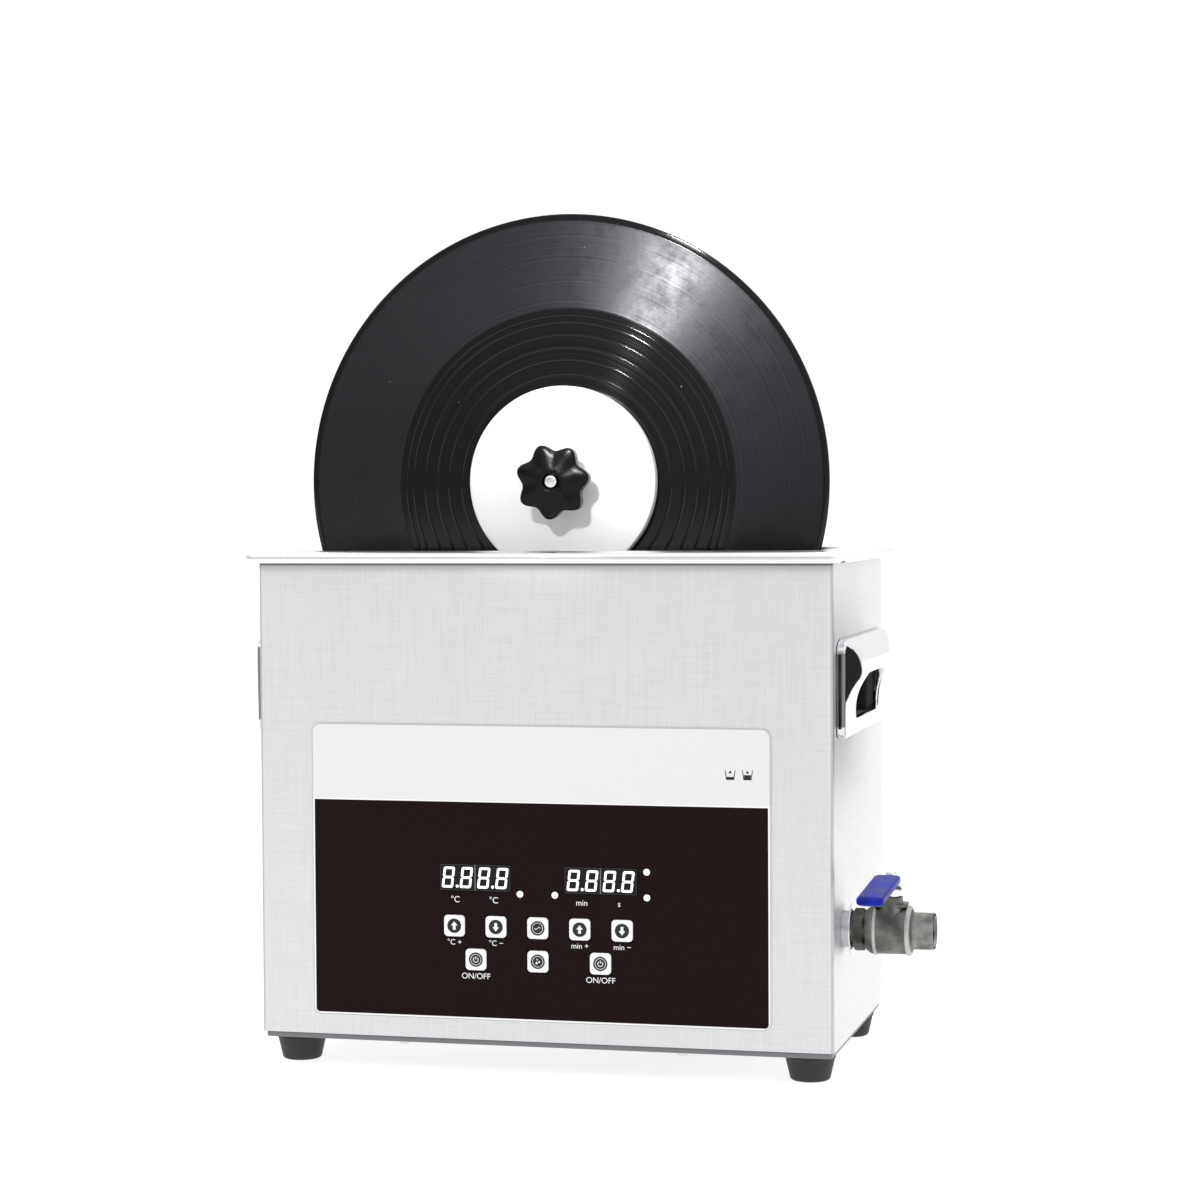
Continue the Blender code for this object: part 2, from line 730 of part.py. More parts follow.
def make_casing():
    """Wrap of sheet steel with its windows, holes and vents."""
    bm = bmesh.new()
    fill_box(bm, (-SIDE, FRONT, CASING_BOTTOM), (SIDE, REAR, CASING_TOP))
    round_edges(bm, CASING_CORNER, CORNER_STEPS, lambda edge: edge_runs(edge, 2))
    ends = [face for face in bm.faces if abs(face.normal.z) > math.cos(SMOOTH_ANGLE)]
    bmesh.ops.delete(bm, geom=ends, context="FACES_ONLY")
    casing = add_mesh("casing", bm)
    wall = casing.modifiers.new("wall", "SOLIDIFY")
    wall.thickness = CASING_WALL
    wall.offset = -1.0
    wall.use_even_offset = True
    cut(casing, boxes("casing_windows", casing_windows()))
    cut(casing, boxes("casing_vents", casing_vents()))
    hole = PIPE_DIAMETER / 2 + GAP
    start = (SIDE - OVERRUN, DRAIN_Y, DRAIN_Z)
    cut(casing, rod("casing_drain_hole", start, (SIDE + OVERRUN, DRAIN_Y, DRAIN_Z), hole))
    paint(casing, "brushed_stainless")


def control_window():
    """Lowest and highest X and Z of the window behind the keys and displays."""
    half = DISPLAY_SPACING / 2 + DISPLAY_WIDTH / 2 + WINDOW_MARGIN
    low = KEY_LOWER - KEY_SIZE / 2 - WINDOW_MARGIN
    high = DISPLAY_LEVEL + DISPLAY_HEIGHT / 2 + WINDOW_MARGIN
    return PANEL_SHIFT - half, PANEL_SHIFT + half, low, high


def casing_windows():
    """Corners of the boxes that open the casing's front, sides and back."""
    left, right, low, high = control_window()
    found = [((left, FRONT - OVERRUN, low), (right, FRONT + OVERRUN, high))]
    grip = GRIP_LENGTH / 2 + LINER_MARGIN + GAP
    liner_low = GRIP_LOW - LINER_MARGIN
    for wall in (-SIDE, SIDE):
        corner = (wall - OVERRUN, -grip, liner_low - GAP)
        found.append((corner, (wall + OVERRUN, grip, liner_low + LINER_HEIGHT + GAP)))
    for x, z, width, height in rear_holes():
        corner = (x - width / 2, REAR - OVERRUN, z - height / 2)
        found.append((corner, (x + width / 2, REAR + OVERRUN, z + height / 2)))
    return found


def rear_holes():
    """Centre and size of the holes for the mains socket and the switch."""
    socket = (INLET_X, INLET_Z, INLET_BODY_WIDTH + 2 * GAP, INLET_BODY_HEIGHT + 2 * GAP)
    width = SWITCH_WIDTH - 2 * SWITCH_BODY_MARGIN + 2 * GAP
    height = SWITCH_HEIGHT - 2 * SWITCH_BODY_MARGIN + 2 * GAP
    return [socket, (SWITCH_X, SWITCH_Z, width, height)]


def casing_vents():
    """Corners of the slots behind the fan."""
    found = []
    for row in range(VENT_COUNT):
        middle = FAN_Z + (row - (VENT_COUNT - 1) / 2) * VENT_PITCH
        low = (FAN_X - VENT_WIDTH / 2, REAR - OVERRUN, middle - VENT_HEIGHT / 2)
        found.append((low, (FAN_X + VENT_WIDTH / 2, REAR + OVERRUN, middle + VENT_HEIGHT / 2)))
    return found


def make_base():
    """Base plate with its air slots, four feet and two screws."""
    half_width, half_depth = SIDE - BASE_INSET, REAR - BASE_INSET
    corner = (half_width, half_depth, BASE_TOP)
    base = box("base_plate", (-half_width, -half_depth, BASE_BOTTOM), corner, CASING_CORNER)
    cut(base, boxes("base_slots", base_slots()))
    holes = []
    for side in (-1, 1):
        x, y = base_screw_place(side)
        holes.append(((x, y, BASE_BOTTOM - OVERRUN), (x, y, BASE_TOP + OVERRUN)))
    cut(base, rods("base_screw_holes", holes, BASE_SCREW_SHANK / 2 + GAP))
    paint(base, "black_steel")
    make_feet()
    make_base_screws()


def base_slots():
    """Corners of the air slots in the base plate, under the driver board's free side."""
    found = []
    for row in range(BASE_SLOT_COUNT):
        y = (row - (BASE_SLOT_COUNT - 1) / 2) * BASE_SLOT_PITCH
        low = (FAN_X - BASE_SLOT_LENGTH / 2, y - BASE_SLOT_WIDTH / 2, BASE_BOTTOM - OVERRUN)
        high = (FAN_X + BASE_SLOT_LENGTH / 2, y + BASE_SLOT_WIDTH / 2, BASE_TOP + OVERRUN)
        found.append((low, high))
    return found


def base_screw_place(side):
    """X and Y of one of the two screws under the front edge."""
    return BASE_SCREW_SHIFT + side * BASE_SCREW_SPACING / 2, FRONT + BASE_SCREW_FROM_FRONT


def make_base_screws():
    """Pan-head screws that hang under the base plate."""
    head, crown = BASE_SCREW_HEAD_DIAMETER / 2, BASE_SCREW_CROWN_DIAMETER / 2
    shank, top = BASE_SCREW_SHANK / 2, BASE_SCREW_LENGTH
    profile = [(0.0, top), (shank, top), (shank, 0.0), (head, 0.0)]
    profile += [(head, -BASE_SCREW_HEAD_HEIGHT / 2), (crown, -BASE_SCREW_HEAD_HEIGHT)]
    profile += [(0.0, -BASE_SCREW_HEAD_HEIGHT)]
    for side, word in ((-1, "left"), (1, "right")):
        base = (*base_screw_place(side), BASE_BOTTOM - GAP)
        screw = turned("base_screw_" + word, profile, base, "Z", steps=TURN_STEPS // 2)
        paint(screw, "polished_stainless")


def make_feet():
    """Four tapered rubber feet with a sunk screw hole."""
    top, bottom = FOOT_TOP_DIAMETER / 2, FOOT_BOTTOM_DIAMETER / 2
    hole, depth = FOOT_HOLE_DIAMETER / 2, FOOT_HOLE_DEPTH
    profile = [(0.0, FOOT_HEIGHT), (top, FOOT_HEIGHT), (bottom + FOOT_EDGE, FOOT_EDGE)]
    profile += [(bottom, 0.0), (hole, 0.0), (hole, depth), (0.0, depth)]
    x, y = SIDE - FOOT_FROM_SIDE, REAR - FOOT_FROM_FRONT
    places = {"front_left": (-x, -y), "front_right": (x, -y)}
    places |= {"rear_left": (-x, y), "rear_right": (x, y)}
    for word, place in places.items():
        foot = turned("foot_" + word, profile, (*place, 0.0), "Z")
        paint(foot, "black_rubber")


def make_tank():
    """Pressed bath: a rim slab, hollow below, joined to a bowl and emptied."""
    half_x, half_y = SIDE + RIM_OVERHANG, REAR + RIM_OVERHANG
    low, high = (-half_x, -half_y, RIM_BOTTOM), (half_x, half_y, RIM_TOP)
    tank = box("tank", low, high, RIM_CORNER, top=RIM_EDGE, bottom=RIM_LIP_EDGE)
    half_x, half_y = half_x - RIM_LIP, half_y - RIM_LIP
    low = (-half_x, -half_y, RIM_BOTTOM - OVERRUN)
    high = (half_x, half_y, RIM_TOP - TANK_WALL)
    cut(tank, box("tank_rim_hollow", low, high, RIM_CORNER - RIM_LIP))
    join(tank, bowl("tank_bowl", TANK_WALL, TANK_BOTTOM, RIM_TOP - TANK_WALL / 2))
    cut(tank, bowl("tank_inside", 0.0, TANK_FLOOR, RIM_TOP + OVERRUN))
    start = (DRAIN_INLET_X, DRAIN_Y, TANK_BOTTOM - OVERRUN)
    end = (DRAIN_INLET_X, DRAIN_Y, TANK_FLOOR + OVERRUN)
    cut(tank, rod("tank_drain_hole", start, end, TANK_DRAIN_DIAMETER / 2))
    paint(tank, "polished_stainless")


def bowl(name, wall, low, high):
    """The bath's rounded block, grown by a wall."""
    half_x, half_y = TANK_LENGTH / 2 + wall, TANK_BREADTH / 2 + wall
    corner, floor = TANK_CORNER + wall, TANK_FLOOR_RADIUS + wall
    return box(name, (-half_x, -half_y, low), (half_x, half_y, high), corner, bottom=floor)


def key_places():
    """Name and X, Z of each key."""
    upper = ("temp_up", "temp_down", "mode", "time_up", "time_down")
    lower = ("heat", "degas", "run")
    places = {}
    for words, pitch, z in ((upper, KEY_UPPER_PITCH, KEY_UPPER), (lower, KEY_LOWER_PITCH, KEY_LOWER)):
        for index, word in enumerate(words):
            x = PANEL_SHIFT + (index - (len(words) - 1) / 2) * pitch
            places["key_" + word] = (x, z)
    return places


def make_panel():
    """Panel film with a hole for each key and display."""
    half = PANEL_WIDTH / 2
    low = (PANEL_SHIFT - half, FILM_FRONT, PANEL_LOW)
    high = (PANEL_SHIFT + half, FILM_BACK, PANEL_LOW + PANEL_HEIGHT)
    film = box("panel_film", low, high, PANEL_CORNER, along=1)
    holes = []
    for x, z in key_places().values():
        holes.append(film_hole(x, z, KEY_SIZE, KEY_SIZE))
    for side in (-1, 1):
        x = PANEL_SHIFT + side * DISPLAY_SPACING / 2
        holes.append(film_hole(x, DISPLAY_LEVEL, DISPLAY_WIDTH, DISPLAY_HEIGHT))
    cut(film, boxes("panel_holes", holes))
    paint(film, "printed_film")


def film_hole(x, z, width, height):
    """Corners of a hole through the film, a gap wider than what fills it."""
    half_width, half_height = width / 2 + GAP, height / 2 + GAP
    low = (x - half_width, FILM_FRONT - OVERRUN, z - half_height)
    return low, (x + half_width, FRONT + OVERRUN, z + half_height)


def make_keys():
    """Eight square keys, each a pad with a post that reaches its switch."""
    half, post = KEY_SIZE / 2, KEY_POST / 2
    pad = box("key_pad", (-half, 0.0, -half), (half, KEY_PAD_DEPTH, half), KEY_CORNER, along=1)
    stem = box("key_stem", (-post, KEY_PAD_DEPTH / 2, -post), (post, KEY_LENGTH, post))
    join(pad, stem)
    mesh = baked(pad)
    bpy.data.objects.remove(stem)
    for name, (x, z) in key_places().items():
        key = add_object(name, mesh)
        key.location = (x, KEY_FRONT, z)
        paint(key, "key_film")


def make_displays():
    """Two display modules set flush in the film."""
    half_width, half_height = DISPLAY_WIDTH / 2, DISPLAY_HEIGHT / 2
    depth = BOARD_FRONT - GAP - FILM_FRONT
    block = box("display", (-half_width, 0.0, -half_height), (half_width, depth, half_height))
    mesh = baked(block)
    for side, word in ((-1, "left"), (1, "right")):
        display = add_object("display_" + word, mesh)
        display.location = (PANEL_SHIFT + side * DISPLAY_SPACING / 2, FILM_FRONT, DISPLAY_LEVEL)
        paint(display, "display_lens")


def make_control_board():
    """Board behind the panel with four posts to the casing and a switch for each key."""
    left, right, low, high = control_window()
    left, right = left - BOARD_MARGIN, right + BOARD_MARGIN
    low, high = low - BOARD_MARGIN, high + BOARD_MARGIN
    board = box("control_board", (left, BOARD_FRONT, low), (right, BOARD_BACK, high))
    middle = (BOARD_FRONT + BOARD_BACK) / 2
    half = TACT_SIZE / 2
    tacts = []
    for x, z in key_places().values():
        front = BOARD_FRONT - TACT_HEIGHT
        tacts.append(((x - half, front, z - half), (x + half, middle, z + half)))
    join(board, boxes("control_board_switches", tacts))
    posts = []
    for x in (left + BOARD_POST_INSET, right - BOARD_POST_INSET):
        for z in (low + BOARD_POST_INSET, high - BOARD_POST_INSET):
            posts.append(((x, FRONT + CASING_WALL + GAP, z), (x, middle, z)))
    join(board, rods("control_board_posts", posts, BOARD_POST_DIAMETER / 2, TURN_STEPS // 2))
    paint(board, "circuit_board")


def outward(side, distance):
    """X at a distance outward from the left (-1) or right (1) side wall."""
    return side * (SIDE + distance)


def side_box(name, side, span_out, span_y, span_z, corner=0.0, top=0.0):
    """A box that stands on a side wall, with its edges rounded as seen from that side."""
    ends = sorted(outward(side, distance) for distance in span_out)
    low, high = (ends[0], span_y[0], span_z[0]), (ends[1], span_y[1], span_z[1])
    if side > 0:
        return box(name, low, high, corner, along=0, top=top)
    return box(name, low, high, corner, along=0, bottom=top)


def hood_section(side, wall, back):
    """Sloped cheek below the lip, then a quarter of an ellipse over it, less a wall."""
    out, rise = HOOD_PROUD - wall, HOOD_RISE - wall
    points = [(outward(side, back), GRIP_LOW), (outward(side, HANDLE_PROUD - wall), GRIP_LOW)]
    for step in range(HOOD_STEPS):
        angle = QUARTER * step / HOOD_STEPS
        x = outward(side, GAP + out * math.cos(angle))
        points.append((x, LIP_LEVEL + rise * math.sin(angle)))
    top = LIP_LEVEL + rise
    return [*points, (outward(side, GAP + HANDLE_WALL), top), (outward(side, back), top)]


def hood_plan(side, wall):
    """Hood seen from above: a crown with a ramp at each end, sunk by a wall."""
    crown, foot = HOOD_CROWN / 2, HOOD_CROWN / 2 + HOOD_RAMP
    half = [(-OVERRUN, foot), (HANDLE_PROUD - wall, foot), (GAP + HOOD_PROUD - wall, crown)]
    half.append((HOOD_PROUD + OVERRUN, crown))
    whole = half + [(out, -y) for out, y in reversed(half)]
    return [(outward(side, out), y) for out, y in whole]


def hood(name, side, wall, back):
    """Solid hood: its section run along the wall, kept where its plan reaches."""
    reach = HANDLE_LENGTH / 2
    solid = plate(name, hood_section(side, wall, back), -reach, reach, "XZ")
    top = LIP_LEVEL + HOOD_RISE + OVERRUN
    plan = plate(name + "_plan", hood_plan(side, wall), GRIP_LOW - OVERRUN, top, "XY")
    boolean(solid, plan, "INTERSECT")
    return solid


def make_handle(side, word):
    """Framed handle pressing with a hood, and its black liner."""
    half, top = HANDLE_LENGTH / 2, HANDLE_LOW + HANDLE_HEIGHT
    name = "handle_" + word
    span_z = (HANDLE_LOW, top)
    frame = side_box(name, side, (GAP, HANDLE_PROUD), (-half, half), span_z, HANDLE_CORNER, HANDLE_WALL)
    join(frame, hood(name + "_hood", side, 0.0, HANDLE_WALL / 2))
    cut(frame, hood(name + "_hollow", side, HANDLE_WALL, -OVERRUN))
    inset, inner_corner = HANDLE_WALL, HANDLE_CORNER - HANDLE_WALL
    back = (-OVERRUN, HANDLE_PROUD - HANDLE_WALL)
    span_y, span_z = (-half + inset, half - inset), (HANDLE_LOW + inset, top - inset)
    cut(frame, side_box(name + "_back", side, back, span_y, span_z, inner_corner))
    grip = GRIP_LENGTH / 2
    mouth = (-OVERRUN, HOOD_PROUD + OVERRUN)
    span_z = (GRIP_LOW, LIP_LEVEL)
    cut(frame, side_box(name + "_grip", side, mouth, (-grip, grip), span_z, GRIP_CORNER))
    paint(frame, "polished_stainless")
    make_liner(side, word)


def make_liner(side, word):
    """Black tray behind the finger opening."""
    name = "handle_liner_" + word
    half = GRIP_LENGTH / 2 + LINER_MARGIN
    low = GRIP_LOW - LINER_MARGIN
    high = low + LINER_HEIGHT
    span = (-LINER_INWARD, HANDLE_PROUD - HANDLE_WALL - GAP)
    liner = side_box(name, side, span, (-half, half), (low, high))
    span = (LINER_WALL - LINER_INWARD, HANDLE_PROUD + OVERRUN)
    span_y = (LINER_WALL - half, half - LINER_WALL)
    span_z = (low + LINER_WALL, high - LINER_WALL)
    cut(liner, side_box(name + "_inside", side, span, span_y, span_z))
    paint(liner, "black_plastic")


def make_drain_pipe():
    """Elbow from the tank's floor out through the side wall, with its bore and thread."""
    bend_x = DRAIN_INLET_X + PIPE_BEND
    route = [(DRAIN_INLET_X, DRAIN_Y, TANK_BOTTOM - GAP)]
    for step in range(PIPE_BEND_STEPS):
        angle = QUARTER * step / (PIPE_BEND_STEPS - 1)
        x = bend_x - PIPE_BEND * math.cos(angle)
        route.append((x, DRAIN_Y, DRAIN_Z + PIPE_BEND - PIPE_BEND * math.sin(angle)))
    shoulder = SIDE + PIPE_SHOWN
    bevel_steps = PIPE_SIDES // 4 - 1
    end = (shoulder, DRAIN_Y, DRAIN_Z)
    pipe = tube("drain_elbow", [*route, end], PIPE_DIAMETER / 2, bevel_steps)
    flange_low = (DRAIN_INLET_X, DRAIN_Y, TANK_BOTTOM - GAP - PIPE_FLANGE_THICKNESS)
    join(pipe, rod("drain_flange", flange_low, route[0], PIPE_FLANGE_DIAMETER / 2))
    tip = (shoulder + PIPE_THREAD_LENGTH, DRAIN_Y, DRAIN_Z)
    start = (shoulder - PIPE_SHOWN, DRAIN_Y, DRAIN_Z)
    join(pipe, rod("drain_thread", start, tip, PIPE_THREAD_DIAMETER / 2, sides=PIPE_SIDES))
    above = (DRAIN_INLET_X, DRAIN_Y, TANK_BOTTOM + OVERRUN)
    beyond = (tip[0] + OVERRUN, DRAIN_Y, DRAIN_Z)
    cut(pipe, tube("drain_bore", [above, *route[1:], beyond], PIPE_BORE / 2, bevel_steps))
    paint(pipe, "polished_stainless")


def make_valve_shell():
    """Washer, end cap and body of the ball valve, turned about the pipe's axis."""
    base = (SIDE, DRAIN_Y, DRAIN_Z)
    thread = PIPE_THREAD_DIAMETER / 2 + GAP
    washer_end = WASHER_AT + WASHER_THICKNESS
    washer = ring("drain_washer", thread, WASHER_DIAMETER / 2, WASHER_AT, washer_end, base, "X")
    paint(washer, "polished_stainless")
    collar, neck = CAP_COLLAR_DIAMETER / 2, CAP_NECK_DIAMETER / 2
    socket = CAP_AT + CAP_SOCKET_DEPTH
    profile = [(collar, CAP_END), (collar, CAP_END - CAP_COLLAR_LENGTH / 2), (neck, CAP_COLLAR_AT)]
    profile += [(thread, CAP_COLLAR_AT), (thread, socket), (VALVE_WAY / 2, socket)]
    profile += [(VALVE_WAY / 2, CAP_END)]
    cap = turned("valve_end_cap", profile, base, "X", ring=True)
    hex_start = (SIDE + CAP_AT, DRAIN_Y, DRAIN_Z)
    hex_end = (SIDE + CAP_COLLAR_AT + GAP, DRAIN_Y, DRAIN_Z)
    join(cap, hexagon("valve_cap_hex", hex_start, hex_end, CAP_HEX))
    bore_start = (SIDE + CAP_AT - OVERRUN, DRAIN_Y, DRAIN_Z)
    bore_end = (SIDE + socket, DRAIN_Y, DRAIN_Z)
    cut(cap, rod("valve_cap_bore", bore_start, bore_end, thread))
    paint(cap, "cast_stainless")
    make_valve_body(base)


def make_valve_body(base):
    """Valve body with its barrel, ridges, outlet port, chamber and stem neck."""
    barrel, ridge, port = VALVE_BODY_DIAMETER / 2, VALVE_RIDGE_DIAMETER / 2, VALVE_PORT_DIAMETER / 2
    barrel_end = BODY_AT + VALVE_BODY_LENGTH * VALVE_BARREL_SHARE
    chamber_end = BALL_AT + BALL_DIAMETER / 2 + GAP
    thread_start = BODY_END - VALVE_THREAD_DEPTH
    outer = [(ridge, BODY_AT), (ridge, BODY_AT + VALVE_RIDGE_LENGTH)]
    outer += [(barrel, BODY_AT + 2 * VALVE_RIDGE_LENGTH), (barrel, barrel_end - VALVE_RIDGE_LENGTH)]
    outer += [(ridge, barrel_end), (ridge, PORT_AT - VALVE_RIDGE_LENGTH)]
    outer += [(port, PORT_AT), (port, BODY_END)]
    thread, way, chamber = VALVE_THREAD_DIAMETER / 2, VALVE_WAY / 2, CHAMBER_DIAMETER / 2
    inner = [(thread, BODY_END), (thread, thread_start), (way, thread_start), (way, chamber_end)]
    inner += [(chamber, chamber_end), (chamber, BODY_AT)]
    body = turned("valve_body", outer + inner, base, "X", ring=True)
    root = (chamber + barrel) / 2
    foot, top = (STEM_X, DRAIN_Y, DRAIN_Z + root), (STEM_X, DRAIN_Y, DRAIN_Z + NECK_TOP)
    join(body, rod("valve_neck", foot, top, NECK_DIAMETER / 2))
    half_x, half_y = STOP_PLATE_LENGTH / 2, STOP_PLATE_BREADTH / 2
    plate_low = DRAIN_Z + barrel + GAP
    low = (STEM_X - half_x, DRAIN_Y - half_y, plate_low)
    high = (STEM_X + half_x, DRAIN_Y + half_y, plate_low + STOP_PLATE_THICKNESS)
    join(body, box("valve_stop_plate", low, high, STOP_PLATE_THICKNESS))
    start = (STEM_X, DRAIN_Y, DRAIN_Z + way)
    end = (STEM_X, DRAIN_Y, DRAIN_Z + NECK_TOP + OVERRUN)
    cut(body, rod("valve_stem_bore", start, end, STEM_DIAMETER / 2 + GAP))
    paint(body, "cast_stainless")


def make_valve_core():
    """Ball, stem, packing nut and lever nut, all on the stem's axis."""
    centre = (STEM_X, DRAIN_Y, DRAIN_Z)
    radius = BALL_DIAMETER / 2
    bm = bmesh.new()
    bmesh.ops.create_uvsphere(bm, u_segments=TURN_STEPS, v_segments=TURN_STEPS // 2, radius=radius)
    ball = add_mesh("valve_ball", bm)
    ball.location = centre
    reach = radius + OVERRUN
    ends = ((STEM_X, DRAIN_Y - reach, DRAIN_Z), (STEM_X, DRAIN_Y + reach, DRAIN_Z))
    cut(ball, rod("valve_ball_bore", *ends, VALVE_WAY / 2))
    slot_low = (STEM_X - BALL_SLOT / 2, DRAIN_Y - reach, DRAIN_Z + radius - TANG_DEPTH)
    slot_high = (STEM_X + BALL_SLOT / 2, DRAIN_Y + reach, DRAIN_Z + reach)
    cut(ball, box("valve_ball_slot", slot_low, slot_high))
    paint(ball, "polished_stainless")
    shaft_low = (STEM_X, DRAIN_Y, DRAIN_Z + radius + GAP)
    stem = rod("valve_stem", shaft_low, (STEM_X, DRAIN_Y, DRAIN_Z + STEM_TOP), STEM_DIAMETER / 2)
    tang = BALL_SLOT / 2 - GAP
    low = (STEM_X - tang, DRAIN_Y - STEM_DIAMETER / 3, DRAIN_Z + radius - TANG_DEPTH + GAP)
    high = (STEM_X + tang, DRAIN_Y + STEM_DIAMETER / 3, DRAIN_Z + radius + TANG_DEPTH)
    pivot(stem, centre)
    join(stem, box("valve_stem_tang", low, high))
    paint(stem, "polished_stainless")
    stem_nut("packing_nut", PACKING_HEX, NECK_TOP + GAP, PACKING_HEIGHT)
    stem_nut("lever_nut", LEVER_NUT_HEX, LEVER_NUT_AT, LEVER_NUT_HEIGHT)


def stem_nut(name, across_flats, low, height):
    """Hexagon nut round the stem."""
    start, end = (STEM_X, DRAIN_Y, DRAIN_Z + low), (STEM_X, DRAIN_Y, DRAIN_Z + low + height)
    nut = hexagon(name, start, end, across_flats)
    pivot(nut, (STEM_X, DRAIN_Y, DRAIN_Z))
    bore_low = (STEM_X, DRAIN_Y, DRAIN_Z + low - OVERRUN)
    bore_high = (STEM_X, DRAIN_Y, DRAIN_Z + low + height + OVERRUN)
    cut(nut, rod(name + "_bore", bore_low, bore_high, STEM_DIAMETER / 2 + GAP))
    paint(nut, "polished_stainless")


def ribbon(name, stations, thickness):
    """A strip through (out, up, width) stations, out towards the front and up from the pipe."""
    bm = bmesh.new()
    rows = []
    for out, up, width in stations:
        y, z = DRAIN_Y - out, DRAIN_Z + up
        left = bm.verts.new((STEM_X - width / 2, y, z))
        rows.append((left, bm.verts.new((STEM_X + width / 2, y, z))))
    for first, second in zip(rows, rows[1:]):
        bm.faces.new((first[0], first[1], second[1], second[0]))
    strip = add_mesh(name, bm)
    solid = strip.modifiers.new("thickness", "SOLIDIFY")
    solid.thickness = thickness
    solid.offset = 0.0
    solid.use_even_offset = True
    return strip


def arm_level(out):
    """Height of the lever's straight arm above the pipe's axis, at a distance from the stem."""
    run = LEVER_LENGTH - LEVER_CRANK_OUT
    return LEVER_LEVEL + LEVER_CRANK_RISE - LEVER_DROOP * (out - LEVER_CRANK_OUT) / run


def make_lever():
    """Cranked steel lever and the blue vinyl sleeve on its arm."""
    centre = (STEM_X, DRAIN_Y, DRAIN_Z)
    stations = [(-LEVER_HUB, LEVER_LEVEL, LEVER_HUB_WIDTH), (LEVER_HUB, LEVER_LEVEL, LEVER_HUB_WIDTH)]
    for out in (LEVER_CRANK_OUT, LEVER_LENGTH):
        stations.append((out, arm_level(out), LEVER_ARM_WIDTH))
    lever = ribbon("valve_lever", stations, LEVER_THICKNESS)
    start = (STEM_X, DRAIN_Y, DRAIN_Z + LEVER_LEVEL - OVERRUN)
    end = (STEM_X, DRAIN_Y, DRAIN_Z + LEVER_LEVEL + OVERRUN)
    cut(lever, rod("valve_lever_hole", start, end, STEM_DIAMETER / 2 + GAP))
    pivot(lever, centre)
    paint(lever, "polished_stainless")
    stations = [(out, arm_level(out), SLEEVE_WIDTH) for out in (SLEEVE_START, SLEEVE_END)]
    sleeve = ribbon("lever_sleeve", stations, SLEEVE_THICKNESS)
    bevel(sleeve, SLEEVE_EDGE)
    ends = (SLEEVE_START - OVERRUN, LEVER_LENGTH + GAP)
    stations = [(out, arm_level(out), LEVER_ARM_WIDTH + 2 * GAP) for out in ends]
    cut(sleeve, ribbon("lever_sleeve_pocket", stations, LEVER_THICKNESS + 2 * GAP))
    pivot(sleeve, centre)
    paint(sleeve, "blue_vinyl_sleeve")


def make_transducers():
    """Bolted ultrasonic drivers glued under the tank's floor."""
    horn, crystal, bolt = HORN_DIAMETER / 2, CRYSTAL_DIAMETER / 2, TRANSDUCER_BOLT_DIAMETER / 2
    crystal_top = -HORN_HEIGHT
    crystal_low = crystal_top - CRYSTAL_HEIGHT
    back_low = crystal_low - BACK_MASS_HEIGHT
    groove = crystal - CRYSTAL_GROOVE
    profile = [(0.0, 0.0), (horn, 0.0), (horn, crystal_top / 3), (crystal, crystal_top)]
    profile += [(groove, crystal_top), (groove, crystal_low), (crystal, crystal_low)]
    profile += [(crystal, back_low), (bolt, back_low), (bolt, back_low - TRANSDUCER_BOLT_HEIGHT)]
    profile += [(0.0, back_low - TRANSDUCER_BOLT_HEIGHT)]
    for index in range(TRANSDUCER_COUNT):
        x = TRANSDUCER_SHIFT + (index - (TRANSDUCER_COUNT - 1) / 2) * TRANSDUCER_PITCH
        driver = turned(f"transducer_{index + 1}", profile, (x, 0.0, TANK_BOTTOM - GAP), "Z")
        paint(driver, "aluminium")


def make_heater():
    """Heating mat on the outside of the tank's front wall."""
    back = -TANK_BREADTH / 2 - TANK_WALL - GAP
    low = TANK_FLOOR + HEATER_FROM_FLOOR
    corner = (-HEATER_LENGTH / 2, back - HEATER_THICKNESS, low)
    mat = box("heater_pad", corner, (HEATER_LENGTH / 2, back, low + HEATER_HEIGHT))
    paint(mat, "silicone_mat")


def make_driver_board():
    """Ultrasonic power board on posts, with its heat sink, coil and relays."""
    half_x, half_y = DRIVER_LENGTH / 2, DRIVER_BREADTH / 2
    low = BASE_TOP + DRIVER_STANDOFF
    top = low + BOARD_THICKNESS
    corner = (DRIVER_X - half_x, DRIVER_Y - half_y, low)
    board = box("driver_board", corner, (DRIVER_X + half_x, DRIVER_Y + half_y, top))
    middle = (low + top) / 2
    sink_y = DRIVER_Y + half_y - HEAT_SINK_BREADTH
    long, broad = HEAT_SINK_LENGTH / 2, HEAT_SINK_BREADTH / 2
    sink_high = (DRIVER_X + long, sink_y + broad, top + HEAT_SINK_HEIGHT)
    tall = [((DRIVER_X - long, sink_y - broad, middle), sink_high)]
    for side in (-1, 1):
        x = DRIVER_X + side * (half_x - RELAY_LENGTH)
        y = DRIVER_Y - half_y + RELAY_BREADTH
        relay_low = (x - RELAY_LENGTH / 2, y - RELAY_BREADTH / 2, middle)
        tall.append((relay_low, (x + RELAY_LENGTH / 2, y + RELAY_BREADTH / 2, top + RELAY_HEIGHT)))
    join(board, boxes("driver_board_blocks", tall))
    coil_y = DRIVER_Y - half_y / 3
    ends = ((DRIVER_X, coil_y, middle), (DRIVER_X, coil_y, top + COIL_HEIGHT))
    join(board, rod("driver_board_coil", *ends, COIL_DIAMETER / 2))
    posts = []
    for x in (DRIVER_X - half_x + DRIVER_POST_INSET, DRIVER_X + half_x - DRIVER_POST_INSET):
        for y in (DRIVER_Y - half_y + DRIVER_POST_INSET, DRIVER_Y + half_y - DRIVER_POST_INSET):
            posts.append(((x, y, BASE_TOP + GAP), (x, y, middle)))
    join(board, rods("driver_board_posts", posts, DRIVER_POST_DIAMETER / 2, TURN_STEPS // 2))
    paint(board, "circuit_board")


